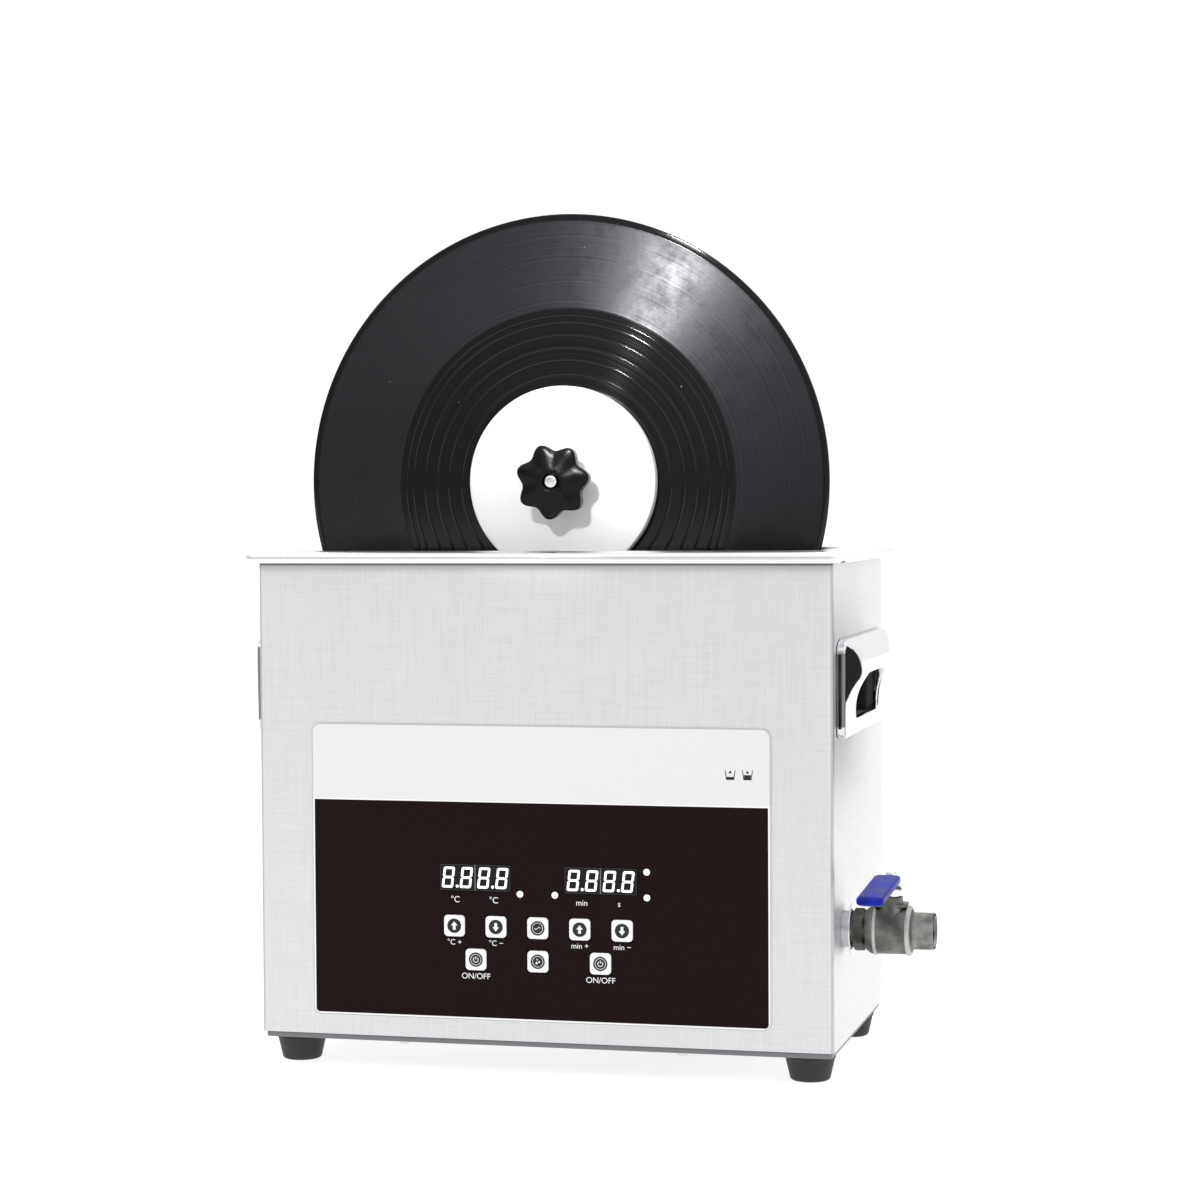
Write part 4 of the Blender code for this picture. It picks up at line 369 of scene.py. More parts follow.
def grained(name, base, grain, rough, relief=0.0, metallic=0.0, detail=2.0, coarse=0.5, tones=(),
            tone_span=(0.35, 0.65), **sockets):
    """A finish with one noise. Its roughness follows the noise over a range, and so do its two tones
    and its relief in metres, where it has them. The grain is one size, or one to each axis."""
    material, tree, shader, place = start_finish(name, base, rough[0], metallic, **sockets)
    wave = noise(tree, place, np.broadcast_to(grain, 3).tolist(), detail, coarse)
    link(tree, swayed(tree, wave, *rough), shader, "Roughness")
    if tones:
        share = ranged(tree, wave, *tone_span, 0.0, 1.0)
        link(tree, mixed(tree, share, *map(colour, tones)), shader, "Base Color")
    if relief:
        bumped(tree, shader, wave, relief)
    return material


# Painted shade under the rim's front and painted dark line of the bends: drops, strengths and tone
RIM_SHADE_DROP = 0.0065
RIM_SHADE = 0.35
RIM_LINE_DROP = 0.0016
RIM_LINE = 0.5
BEND_RADIUS = 0.003
BEND_LINE_START, BEND_LINE_FULL = -0.74, -0.64
BEND_LINE = 0.34
BELT_LINE, BELT_LENGTH = 0.0010, 0.03
PAINTED_DARK_STEEL = "4A4A4E"


def painted_bend_reflection(tree, place):
    """Share of the painted dark reflection line down the middle of each upright bend, from the sum of the
    distances from the casing's middle."""
    centre = (CASING_LOW + CASING_HIGH) / 2
    half = (CASING_HIGH - CASING_LOW) / 2
    offset = vector(tree, "SUBTRACT", place, tuple(centre))
    offset = vector(tree, "ABSOLUTE", offset)
    both = vector(tree, "DOT_PRODUCT", offset, (1.0, 1.0, 0.0), "Value")
    start = half[X] + half[Y] + BEND_LINE_START * BEND_RADIUS
    full = half[X] + half[Y] + BEND_LINE_FULL * BEND_RADIUS
    return ranged(tree, both, start, full, 0.0, 1.0, True)


def brushed_stainless():
    """304 stainless sheet, belt brushed both ways: a faint crossed grid that softens what it reflects,
    with a painted shade and a painted dark line close under the front of the rim, standing in for the
    rim's shadow, and a thin painted dark reflection line down the middle of each upright bend."""
    material, tree, shader, place = start_finish("brushed_304_stainless_sheet", "E2E2E4", 0.46, METAL)
    # The belt's grit leaves lines 0.1 mm apart; they are drawn 1 mm apart so that they show.
    level = noise(tree, place, (BELT_LENGTH, BELT_LENGTH, BELT_LINE), 3.0, 0.7)
    upright = noise(tree, place, (BELT_LINE, BELT_LINE, BELT_LENGTH), 3.0, 0.7)
    cloud = noise(tree, place, (0.05, 0.05, 0.04), 3.0)
    lines = summed(tree, summed(tree, level, 0.5, "MULTIPLY"), summed(tree, upright, 0.5, "MULTIPLY"))
    sheet = mixed(tree, ranged(tree, lines, 0.38, 0.62, 0.0, 1.0), colour("DDDDDF"), colour("E7E7E9"))
    height = along(tree, place, "Z")
    edge = TANK_HIGH[Z] - RIM_HEIGHT
    # Painted shade: the sheet's colour darkens towards the rim's lower edge, with a dark line just under
    # it, on the front face only, in place of the rim's shadow.
    shade = ranged(tree, height, edge - RIM_SHADE_DROP, edge, 0.0, RIM_SHADE, True)
    line = ranged(tree, height, edge - RIM_LINE_DROP, edge - RIM_LINE_DROP / 2, 0.0, RIM_LINE, True)
    depth = along(tree, place, "Y")
    front = ranged(tree, depth, CASING_LOW[Y] + BEND_RADIUS / 4, CASING_LOW[Y] + BEND_RADIUS, 1.0, 0.0)
    painted_rim_shade = summed(tree, summed(tree, shade, line), front, "MULTIPLY")
    dull = mixed(tree, painted_rim_shade, sheet, colour(PAINTED_DARK_STEEL))
    # Painted reflection: a dark line down each upright bend, where the rounded corner would mirror
    # something darker.
    line = summed(tree, painted_bend_reflection(tree, place), BEND_LINE, "MULTIPLY")
    dull = mixed(tree, line, dull, colour(PAINTED_DARK_STEEL))
    link(tree, dull, shader, "Base Color")
    rough = summed(tree, swayed(tree, lines, 0.42, 0.5), swayed(tree, cloud, -0.03, 0.03))
    link(tree, rough, shader, "Roughness")
    bumped(tree, shader, lines, 0.000005)
    return material


def satin_stainless(name, tone):
    """304 stainless, drawn and satin polished: soft, even reflections with hardly any grain."""
    return grained(name, tone, grain=0.03, rough=(0.26, 0.32), relief=0.00004, metallic=METAL)


def polished_stainless():
    """304 stainless pressed and buffed: bright, with faint drawing lines and soft waves."""
    material, tree, shader, place = start_finish("buffed_304_stainless_pressing", "E4E4E6", 0.16, METAL)
    wave = noise(tree, place, (0.03, 0.03, 0.03), 2.0)
    # Buffing lines are hair-fine; they are drawn 0.6 mm apart so that they show.
    buff = noise(tree, place, (0.05, 0.05, 0.0006), 3.0, 0.6)
    link(tree, swayed(tree, buff, 0.11, 0.22), shader, "Roughness")
    bumped(tree, shader, summed(tree, wave, summed(tree, buff, 0.05, "MULTIPLY")), 0.00015)
    return material


# Where the painted dark reflection lies on the handle's end faces, and how strong it is
HANDLE_END_START, HANDLE_END_FULL = 0.0022, 0.0014
HANDLE_END_LOW, HANDLE_END_HIGH = 0.0065, 0.0455
HANDLE_END_FADE = 0.0008
HANDLE_END_SHARE = 0.8
MIRROR_TONE, MIRROR_PAINTED_DARK_TONE = "D9D9DB", "4A4A4D"


def mirror_stainless():
    """304 stainless handle pressing, mirror buffed: sharp dark and light bands with slight waves, and a
    painted dark reflection on the two narrow end faces."""
    material, tree, shader, place = start_finish("mirror_buffed_304_stainless", MIRROR_TONE, 0.07, METAL)
    low, high = corners("handle_right")
    reach = along(tree, place, "Y")
    reach = summed(tree, summed(tree, reach, float(low[Y] + high[Y]) / 2, "SUBTRACT"), 0.0, "ABSOLUTE")
    half = float(high[Y] - low[Y]) / 2
    # Painted reflection: the end faces are darkened between two heights, in place of the darker
    # surroundings they would mirror.
    end = ranged(tree, reach, half - HANDLE_END_START, half - HANDLE_END_FULL, 0.0, HANDLE_END_SHARE, True)
    height = along(tree, place, "Z")
    start, stop = low[Z] + HANDLE_END_LOW, low[Z] + HANDLE_END_HIGH
    above = ranged(tree, height, start - HANDLE_END_FADE, start, 0.0, 1.0)
    below = ranged(tree, height, stop, stop + HANDLE_END_FADE, 1.0, 0.0)
    end = summed(tree, end, summed(tree, above, below, "MULTIPLY"), "MULTIPLY")
    link(tree, mixed(tree, end, colour(MIRROR_TONE), colour(MIRROR_PAINTED_DARK_TONE)), shader, "Base Color")
    wave = noise(tree, place, (0.012, 0.012, 0.04), 2.0)
    link(tree, swayed(tree, wave, 0.05, 0.11), shader, "Roughness")
    bumped(tree, shader, wave, 0.0001)
    return material


def cast_stainless(name, dark, pale):
    """316 stainless valve casting: matt grey in cloudy patches of two tones, with the pits and skin of
    a sand core."""
    material, tree, shader, place = start_finish(name, pale, 0.46, METAL)
    pits = noise(tree, place, (0.0009, 0.0009, 0.0009), 4.0, 0.7)
    stain = noise(tree, place, (0.009, 0.009, 0.009), 3.0)
    link(tree, mixed(tree, ranged(tree, stain, 0.35, 0.65, 0.0, 1.0), colour(dark), colour(pale)),
         shader, "Base Color")
    link(tree, swayed(tree, pits, 0.38, 0.58), shader, "Roughness")
    bumped(tree, shader, pits, 0.00012)
    return material


def turned_stainless():
    """Stainless bar turned on a lathe: bright, with fine feed lines round its axis."""
    return grained("lathe_turned_stainless", "E2E2E2", grain=0.0004, rough=(0.14, 0.27), relief=0.00001,
                   metallic=METAL)


def coated_steel():
    """Mild steel sheet, powder coated grey: satin, with a fine orange-peel skin."""
    return grained("powder_coated_grey_steel", "78787C", grain=0.0015, rough=(0.38, 0.54), relief=0.00004)


def rubber():
    """Nitrile rubber, moulded: dull charcoal with a slight bloom and a soft sheen."""
    return grained("moulded_nitrile_rubber", "29292B", grain=0.006, rough=(0.48, 0.64), relief=0.00005,
                   detail=4.0, coarse=0.6, tones=("161618", "29292B"), tone_span=(0.35, 0.7))


FILM_PALE, FILM_DARK, FILM_MARGIN = "E5E5E5", "1E1312", "F8F8F8"
FIELD_INSET = 0.0015
FIELD_CORNER = 0.0023
MARGIN_LINE = 0.0007
PRINT_EDGE = 0.00005


def outside_rectangle(tree, place, low, high, corner):
    """Distance outside a rounded rectangle in the plane of X and Z: the length of what the offset from
    its middle has past its straight sides, less the corner's radius."""
    centre, half = (low + high) / 2, (high - low) / 2
    straight = (half[X] - corner, 1.0, half[Z] - corner)
    offset = vector(tree, "SUBTRACT", place, tuple(centre))
    offset = vector(tree, "ABSOLUTE", offset)
    past = vector(tree, "SUBTRACT", offset, straight)
    past = vector(tree, "MAXIMUM", past, NOWHERE)
    length = vector(tree, "LENGTH", past, NOWHERE, "Value")
    return summed(tree, length, corner, "SUBTRACT")


def printed_film():
    """Polycarbonate film printed from behind: a pale band over a brown-black field with round lower
    corners, and a white margin that runs round the field."""
    material, tree, shader, place = start_finish("screen_printed_polycarbonate_film", FILM_DARK, 0.4,
                                                 **{SPECULAR: 0.04})
    height = along(tree, place, "Z")
    field_low, field_high = FILM_LOW + FIELD_INSET, FILM_HIGH - FIELD_INSET
    distance = outside_rectangle(tree, place, field_low, field_high, FIELD_CORNER)
    inside = ranged(tree, distance, -PRINT_EDGE, PRINT_EDGE, 1.0, 0.0)
    below = ranged(tree, height, BAND_LEVEL - PRINT_EDGE, BAND_LEVEL + PRINT_EDGE, 1.0, 0.0)
    top = BAND_LEVEL + MARGIN_LINE
    over = ranged(tree, height, top - PRINT_EDGE, top + PRINT_EDGE, 0.0, 1.0)
    pale = mixed(tree, over, colour(FILM_MARGIN), colour(FILM_PALE))
    dark = summed(tree, inside, below, "MULTIPLY")
    link(tree, mixed(tree, dark, pale, colour(FILM_DARK)), shader, "Base Color")
    grain = noise(tree, place, (0.0008, 0.0008, 0.0008), 2.0)
    link(tree, swayed(tree, grain, 0.32, 0.42), shader, "Roughness")
    bumped(tree, shader, grain, 0.000006)
    return material


def key_film():
    """Polyester key, embossed and printed white: smooth, with a faint fine grain."""
    return grained("embossed_white_polyester", "F4F4F4", grain=0.0007, rough=(0.34, 0.44), relief=0.000006)


def ink(name, tone, glow=0.0):
    """Screen ink, a thin even layer with a slightly grainy edge of colour."""
    sockets = {"Emission Color": colour(tone), "Emission Strength": glow}
    return grained(name, tone, grain=0.0006, rough=(0.44, 0.56), **sockets)


def display_lens():
    """Smoked acrylic over the digits: near black and glossy, with a faint waviness."""
    return grained("smoked_acrylic_lens", "0A0A0B", grain=0.01, rough=(0.1, 0.18), detail=1.0,
                   **{SPECULAR: 0.2})


def black_plastic():
    """Black ABS, moulded with a fine spark texture: satin and even."""
    return grained("spark_textured_black_abs", "161617", grain=0.0006, rough=(0.36, 0.5), relief=0.00003,
                   detail=3.0, coarse=0.6)


def glossy_plastic():
    """Black phenolic, moulded in a polished tool: deep gloss with a soft, broad shine and flow marks."""
    return grained("polished_black_phenolic", "030304", grain=0.008, rough=(0.2, 0.28), relief=0.00002,
                   **{SPECULAR: 0.18})


def radius_about(tree, place, centre):
    """Distance from a Y axis through a centre, and the centred place."""
    shift = tuple(-float(value) for value in centre)
    about = add(tree, "Mapping", {"Vector": place, "Location": shift}).outputs[0]
    level = vector(tree, "MULTIPLY", about, FACE_ACROSS)
    return vector(tree, "LENGTH", level, NOWHERE, "Value"), about


TOOL_RING = 0.0009


def white_acetal():
    """White acetal disc, faced on a lathe: waxy, with faint rings from the tool."""
    material, tree, shader, place = start_finish("lathe_faced_white_acetal", "EEEEEE", 0.4)
    radius, _ = radius_about(tree, place, RECORD_CENTRE)
    # The tool's feed is 0.15 mm a turn; its rings are drawn 0.9 mm apart so that they show.
    rings = add(tree, "TexNoise", {"W": summed(tree, radius, 1 / TOOL_RING, "MULTIPLY"), "Scale": 1.0},
                noise_dimensions="1D").outputs["Fac"]
    link(tree, swayed(tree, rings, 0.34, 0.46), shader, "Roughness")
    bumped(tree, shader, rings, 0.000008)
    return material


VINYL_INNER_ZONE = 0.0985
VINYL_EDGE = 0.1470
# Width of the painted sheen crescent just outside the inner band
CRESCENT_WIDTH = 0.012
VINYL_ANISOTROPY = 0.97
GROOVE_BAND = 0.0014
ZONE_FADE_IN, ZONE_FADE_OUT = 0.0012, 0.0006
EDGE_FADE = 0.0004
# Painted sheen crescent: the heights it fades over and its strength
CRESCENT_LOW, CRESCENT_HIGH, CRESCENT = -0.075, 0.01, 0.35
DUST_CELL = (0.019, 0.019, 0.019)
DUST_CORE, DUST_EDGE, DUST = 0.016, 0.028, 0.4
FACE_ACROSS = (1.0, 0.0, 1.0)


def vinyl_dust(tree, place):
    """Share of a few specks of dust, one to each cell of a loose grid."""
    cells = add(tree, "TexVoronoi", {"Vector": stretched(tree, place, DUST_CELL), "Scale": 1.0})
    return ranged(tree, cells.outputs["Distance"], DUST_CORE, DUST_EDGE, DUST, 0.0)


def vinyl():
    """PVC record, pressed: black, with grooves that stretch each highlight across them, a greyer and
    duller outer band with a painted sheen crescent low down just outside the inner band, an inner band
    that mirrors deeply, and a little dust."""
    sockets = {SPECULAR: 0.36, "Anisotropic": VINYL_ANISOTROPY, "Specular Tint": colour("FAF9FF")}
    material, tree, shader, place = start_finish("pressed_black_vinyl", "1A1A1C", 0.28, **sockets)
    radius, about = radius_about(tree, place, RECORD_CENTRE)
    # Grooves are 0.1 mm apart; their uneven bands are drawn about 1.4 mm wide so that they show.
    bands = add(tree, "TexNoise", {"W": summed(tree, radius, 1 / GROOVE_BAND, "MULTIPLY"), "Scale": 1.0,
                                   "Detail": 3.0}, noise_dimensions="1D").outputs["Fac"]
    blotch = noise(tree, place, (0.012, 0.012, 0.012), 6.0, 0.72)
    start, full = VINYL_INNER_ZONE - ZONE_FADE_IN, VINYL_INNER_ZONE + ZONE_FADE_OUT
    outer = ranged(tree, radius, start, full, 0.0, 1.0, True)
    inside_edge = ranged(tree, radius, VINYL_EDGE - EDGE_FADE, VINYL_EDGE + EDGE_FADE, 1.0, 0.0, True)
    zone = summed(tree, outer, inside_edge, "MULTIPLY")
    spread = swayed(tree, bands, 0.0, 1.0)
    grey = mixed(tree, spread, colour("0F0E12"), colour("19181D"))
    # Painted sheen: a lighter crescent over the lower half just outside the inner band, standing in for a
    # reflection.
    height = along(tree, about, "Z")
    low = ranged(tree, height, CRESCENT_LOW, CRESCENT_HIGH, CRESCENT, 0.0, True)
    full = VINYL_INNER_ZONE + CRESCENT_WIDTH
    painted_sheen_crescent = ranged(tree, radius, VINYL_INNER_ZONE, full, 1.0, 0.0, True)
    grey = mixed(tree, summed(tree, low, painted_sheen_crescent, "MULTIPLY"), grey, colour("3E3D42"))
    black = mixed(tree, spread, colour("040405"), colour("0B0B0C"))
    clean = mixed(tree, zone, black, grey)
    link(tree, mixed(tree, vinyl_dust(tree, place), clean, colour("8A8A8C")), shader, "Base Color")
    dull = ranged(tree, blotch, 0.36, 0.64, 0.33, 0.48)
    dull = summed(tree, dull, swayed(tree, bands, -0.03, 0.03))
    deep = swayed(tree, bands, 0.06, 0.1)
    rough = between(tree, zone, deep, dull)
    link(tree, rough, shader, "Roughness")
    relief = summed(tree, summed(tree, bands, blotch), ranged(tree, zone, 0.0, 1.0, 0.1, 1.0), "MULTIPLY")
    bumped(tree, shader, relief, 0.00004)
    out = vector(tree, "MULTIPLY", about, FACE_ACROSS)
    out = add(tree, "VectorTransform", {0: out}, vector_type="VECTOR", convert_from="OBJECT",
              convert_to="WORLD").outputs[0]
    out = vector(tree, "NORMALIZE", out)
    link(tree, out, shader, "Tangent")
    return material


def blue_sleeve():
    """Blue vinyl sleeve, dipped: deep royal blue with a soft shine, clouded where the dip is thicker."""
    return grained("dipped_blue_vinyl", "1C2FAA", grain=(0.006, 0.012, 0.006), rough=(0.3, 0.42),
                   relief=0.00012, tones=("18207A", "1C2FAA"), **{SPECULAR: 0.05})


def circuit_board():
    """FR4 board with green solder mask: glossy, with paler copper tracks under the mask."""
    return grained("green_masked_fr4", "1F5C33", grain=(0.003, 0.012, 0.003), rough=(0.35, 0.35),
                   detail=0.0, tones=("1A4F2C", "2A7342"), tone_span=(0.5, 0.52))


def cast_aluminium():
    """Aluminium horn and motor can, turned: pale satin metal with feed lines."""
    return grained("turned_aluminium", "BABABE", grain=(0.03, 0.0005, 0.0005), rough=(0.28, 0.42),
                   relief=0.00001, metallic=METAL)


def silicone_mat():
    """Orange silicone heating mat, calendered: matt with a cloth imprint."""
    return grained("calendered_orange_silicone", "C2552B", grain=0.0012, rough=(0.52, 0.68),
                   relief=0.00006, detail=1.0)


def bronze():
    """Sintered bronze bush: dull gold, porous and slightly oily."""
    return grained("sintered_bronze", "A87840", grain=0.0005, rough=(0.28, 0.46), relief=0.00003,
                   metallic=METAL)


# Places taken from the frame
RIM_HEIGHT = 0.0066
CASING_LOW, CASING_HIGH = corners("casing")
TANK_LOW, TANK_HIGH = corners("tank")
FILM_LOW, FILM_HIGH = corners("panel_film")
BAND_SHARE = 0.739
BAND_LEVEL = FILM_LOW[Z] + BAND_SHARE * (FILM_HIGH[Z] - FILM_LOW[Z])
RECORD_CENTRE = middle("record")
PIPE_CENTRE = middle("drain_washer")
STEM_CENTRE = middle("packing_nut")

STEEL = brushed_stainless()
SATIN = satin_stainless("satin_304_stainless_bath", "F2F2F3")
PIPE = satin_stainless("satin_304_stainless_pipe", "BEBEC2")
BUFFED = polished_stainless()
MIRROR = mirror_stainless()
CASTING = cast_stainless("shot_blasted_316_casting", "575753", "84847F")
HEXAGON = cast_stainless("milled_316_hexagon", "383834", "5C5C54")
PORT = cast_stainless("bead_blasted_316_port", "6E6E6A", "A0A09C")
RIDGE = cast_stainless("faced_316_ridge", "B4B4B0", "C8C8C4")
TURNED = turned_stainless()
COATED_STEEL = coated_steel()
RUBBER = rubber()
FILM = printed_film()
KEY_WHITE = key_film()
WHITE_INK = ink("white_screen_ink", "F6F6F6")
BLACK_INK = ink("black_screen_ink", "131313")
GREY_INK = ink("grey_screen_ink", "6E6E70")
PALE_INK = ink("pale_grey_screen_ink", "B8B8BA")
FAINT_INK = ink("faint_screen_ink", "2C2A2A")
SEGMENT = ink("lit_segment", "FFFFFF", 0.5)
LENS = display_lens()
ABS = black_plastic()
GLOSS = glossy_plastic()
ACETAL = white_acetal()
VINYL = vinyl()
SLEEVE = blue_sleeve()
BOARD = circuit_board()
ALUMINIUM = cast_aluminium()
SILICONE = silicone_mat()
BRONZE = bronze()


# Body of the machine

def make_shell():
    """Folded sheet casing and the base plate under it."""
    settle(dressed("casing"), "chassis", STEEL, "brushed_stainless", "casing")
    settle(dressed("base_plate", 0.0003), "chassis", COATED_STEEL, "black_steel", "base_plate")


TANK_WALL = 0.0012
BATH_CORNER = 0.025
BATH_FLOOR = 0.012
RIM_OUT = 0.0195
RIM_CORNER = 0.008
RIM_LIP = 0.0028
DRAIN_DIAMETER = 0.012
DRAIN_FLANGE = 0.029
CUTTER_SEGMENTS = 48
TANK_EASE = (0.0, BATH_FLOOR, 0.0016, 0.0055, 0.0024, 0.0013, 0.001, 0.003, BATH_FLOOR + TANK_WALL, 0.0)


def make_tank():
    """Pressed bath: its section goes out over the floor, up the wall, over the rolled rim and back
    under it, carried round a rounded rectangle that shrinks to a line in the floor."""
    centre = (TANK_LOW + TANK_HIGH) / 2
    half = (TANK_HIGH - TANK_LOW)[:2] / 2 - RIM_OUT
    top, floor, under = TANK_HIGH[Z], TANK_LOW[Z] + TANK_WALL, TANK_LOW[Z]
    low, sheet, lip = top - RIM_HEIGHT, top - TANK_WALL, RIM_OUT - RIM_LIP
    line = (-half[1], BATH_CORNER - half[1])
    section = [(line[0], floor, line[1]), (0.0, floor, BATH_CORNER), (0.0, top, BATH_CORNER),
               (RIM_OUT, top, RIM_CORNER), (RIM_OUT, low, RIM_CORNER), (lip, low, RIM_CORNER - RIM_LIP),
               (lip, sheet, RIM_CORNER - RIM_LIP), (TANK_WALL, sheet, BATH_CORNER + TANK_WALL),
               (TANK_WALL, under, BATH_CORNER + TANK_WALL), (line[0], under, line[1])]
    tank = surface("bath_pressing", carried_grid(eased(section, TANK_EASE), half, centre, Z))
    hole = DRAIN_DIAMETER / 2
    drain = middle("drain_elbow")
    drain[X], drain[Y] = corners("drain_elbow")[0][X] + DRAIN_FLANGE / 2, PIPE_CENTRE[Y]
    low, high = under - OVERRUN, floor + OVERRUN
    outline = [(0.0, low), (hole, low), (hole, high), (0.0, high)]
    carve(tank, turned("drain_cutter", outline, drain, Z, segments=CUTTER_SEGMENTS))
    settle(tank, "chassis", SATIN, "polished_stainless", "tank")


FOOT_STEP = 0.0012
FOOT_TREAD_SHARE = 0.768
FOOT_COLLAR_SHARE, FOOT_WAIST_SHARE = 0.14, 0.2
FOOT_EASE = (0.0, 0.0006, 0.0006, 0.001, 0.0018, 0.0)


def make_feet():
    """Tapered rubber feet: a flared top, a slight waist line and a rounded tread."""
    for word in ("front_left", "front_right", "rear_left", "rear_right"):
        low, high = corners("foot_" + word)
        wide, height = (high - low)[X] / 2, (high - low)[Z]
        narrow = wide * FOOT_TREAD_SHARE
        collar, waist = high[Z] - height * FOOT_COLLAR_SHARE, high[Z] - height * FOOT_WAIST_SHARE
        outline = [(0.0, high[Z]), (wide, high[Z]), (wide, collar), (wide - FOOT_STEP / 2, waist)]
        outline += [(narrow, low[Z]), (0.0, low[Z])]
        foot = turned("rubber_foot_" + word, eased(outline, FOOT_EASE), (low + high) / 2, Z)
        settle(foot, "chassis", RUBBER, "black_rubber", "foot_" + word)


SCREW_SHANK = 0.002
SCREW_DROP = 0.0024
SCREW_CROWN_SHARE, SCREW_SIDE_SHARE = 0.6, 0.75
SCREW_EASE = (0.0, 0.0012, 0.0005, 0.0002, 0.0002, 0.0002, 0.0)


def make_base_screws():
    """Pan heads under the base plate, each a domed turned head with its shank."""
    for word in ("left", "right"):
        low, high = corners("base_screw_" + word)
        head, step = (high - low)[X] / 2, low[Z] + SCREW_DROP
        outline = [(0.0, low[Z]), (head * SCREW_CROWN_SHARE, low[Z])]
        outline += [(head, low[Z] + SCREW_DROP * SCREW_SIDE_SHARE), (head, step), (SCREW_SHANK, step)]
        outline += [(SCREW_SHANK, high[Z]), (0.0, high[Z])]
        outline, centre = eased(outline, SCREW_EASE), (low + high) / 2
        screw = turned("pan_screw_" + word, outline, centre, Z, segments=SMALL_SEGMENTS)
        settle(screw, "chassis", TURNED, "polished_stainless", "base_screw_" + word)


# Front panel
PRINT = 0.00004
FILM_CORNER = 0.005
BORDER_START, BORDER_END = 0.0001, 0.0006


def make_film():
    """Panel film, with a thin printed line round its edge."""
    settle(dressed("panel_film"), "chassis", FILM, "printed_film", "panel_film")
    centre = (FILM_LOW + FILM_HIGH) / 2
    half = (FILM_HIGH - FILM_LOW)[[X, Z]] / 2
    front = FILM_LOW[Y]
    section = [(-BORDER_START, front), (-BORDER_START, front - PRINT)]
    section += [(-BORDER_END, front - PRINT), (-BORDER_END, front)]
    grid = carried_grid(section, half, centre, Y, FILM_CORNER)
    settle(surface("film_border", grid, along=True), "chassis", PALE_INK, "printed_film")


def disc(radius, across=0.0, up=0.0, count=40):
    """Loop of points on a circle."""
    turn = np.linspace(0.0, 2 * np.pi, count, endpoint=False)
    return np.stack([across + radius * np.cos(turn), up + radius * np.sin(turn)], axis=-1)


def prism(loop, centre, level):
    """A flat shape in the panel's plane, from its loop about a centre, raised from one level to another."""
    grid = np.empty((2, len(loop), 3))
    for row, y in zip(grid, level):
        row[:, X], row[:, Y], row[:, Z] = centre[X] + loop[:, 0], y, centre[Z] + loop[:, 1]
    return grid


def band(outer, inner, centre, level):
    """A flat ring or bent bar between two loops with the same number of points."""
    back, front = level
    return np.stack([prism(loop, centre, (y, y))[0] for loop, y in
                     ((outer, back), (outer, front), (inner, front), (inner, back))])


def printed(name, body, finish, slot, shapes=(), bands=()):
    """One print piece from closed shapes and rings."""
    points, faces, count = [], [], 0
    for grids, closed in ((shapes, False), (bands, True)):
        for grid in grids:
            more_points, more_faces = grid_faces(grid, along=closed)
            faces += [[corner + count for corner in face] for face in more_faces]
            points.append(more_points)
            count += len(more_points)
    return settle(add_mesh(name, np.concatenate(points), faces), body, finish, slot)


CAPITAL_SHARE = 0.7


def lettering(name, text, height, centre, level, body, finish, slot):
    """A short printed word, stood up in the panel's plane and centred on a place."""
    curve = bpy.data.curves.new(name + "_curve", "FONT")
    curve.body = text
    curve.size = height / CAPITAL_SHARE
    curve.align_x = "CENTER"
    curve.align_y = "CENTER"
    curve.extrude = abs(level[1] - level[0]) / 2
    guide = bpy.data.objects.new(name + "_guide", curve)
    bpy.context.scene.collection.objects.link(guide)
    bpy.context.view_layer.update()
    mesh = baked(guide)
    bpy.data.objects.remove(guide)
    flat = np.empty(len(mesh.vertices) * 3)
    mesh.vertices.foreach_get("co", flat)
    flat = flat.reshape(-1, 3)
    stood = np.column_stack([centre[X] + flat[:, 0], (level[0] + level[1]) / 2 - flat[:, 2],
                             centre[Z] + flat[:, 1]])
    mesh.vertices.foreach_set("co", stood.ravel())
    mesh.update()
    return settle(add_object(name, mesh), body, finish, slot)


ARROW_SHARES = np.array([(0.0, 1.0), (-0.76, 0.05), (-0.32, 0.05), (-0.32, -0.9), (0.32, -0.9),
                         (0.32, 0.05), (0.76, 0.05)])


def arc_loops(radius, width, start, end, count=28):
    """Outer and inner loop of an open arc drawn with a pen of a given width."""
    turn = np.linspace(start, end, count)
    rim = np.stack([np.cos(turn), np.sin(turn)], axis=-1)
    return np.concatenate([rim * (radius + width / 2), rim[::-1] * (radius - width / 2)])


KEY_ICONS = {"temp_up": "up", "temp_down": "down", "mode": "wave", "time_up": "up", "time_down": "down",
             "heat": "power", "degas": "bubbles", "run": "power"}
ICON_RADIUS = 0.0040
ICON_RING = 0.775
ICON_CORE = 0.70
ARROW_HALF = 0.00245
KEY_CORNER = 0.0022
KEY_SKIRT = 0.003
KEY_EASE = (0.0, 0.00045, 0.0004, 0.0)
POWER_RADIUS, POWER_PEN = 0.0014, 0.0004
POWER_START, POWER_END = math.radians(128), math.radians(412)
POWER_STROKE = np.array([(-0.00022, 0.0002), (0.00022, 0.0002), (0.00022, 0.0018), (-0.00022, 0.0018)])
WAVE_HALF, WAVE_RISE, WAVE_PEN = 0.0018, 0.0006, 0.0002
WAVE_STEPS = 30
BUBBLES = ((0.0007, -0.0006, -0.0008), (0.0005, 0.0009, -0.0001), (0.0004, -0.0003, 0.0012))
BUBBLE_STEPS = 20


def icon_marks(icon):
    """Loops of a key's mark: a power sign, one period of a sine wave, or three bubbles."""
    if icon == "power":
        return [arc_loops(POWER_RADIUS, POWER_PEN, POWER_START, POWER_END), POWER_STROKE]
    if icon == "wave":
        across = np.linspace(-WAVE_HALF, WAVE_HALF, WAVE_STEPS)
        rise = WAVE_RISE * np.sin(across / WAVE_HALF * np.pi)
        over = np.column_stack([across, rise + WAVE_PEN])
        under = np.column_stack([across, rise - WAVE_PEN])
        return [np.concatenate([over, under[::-1]])]
    return [disc(size, x, z, BUBBLE_STEPS) for size, x, z in BUBBLES]


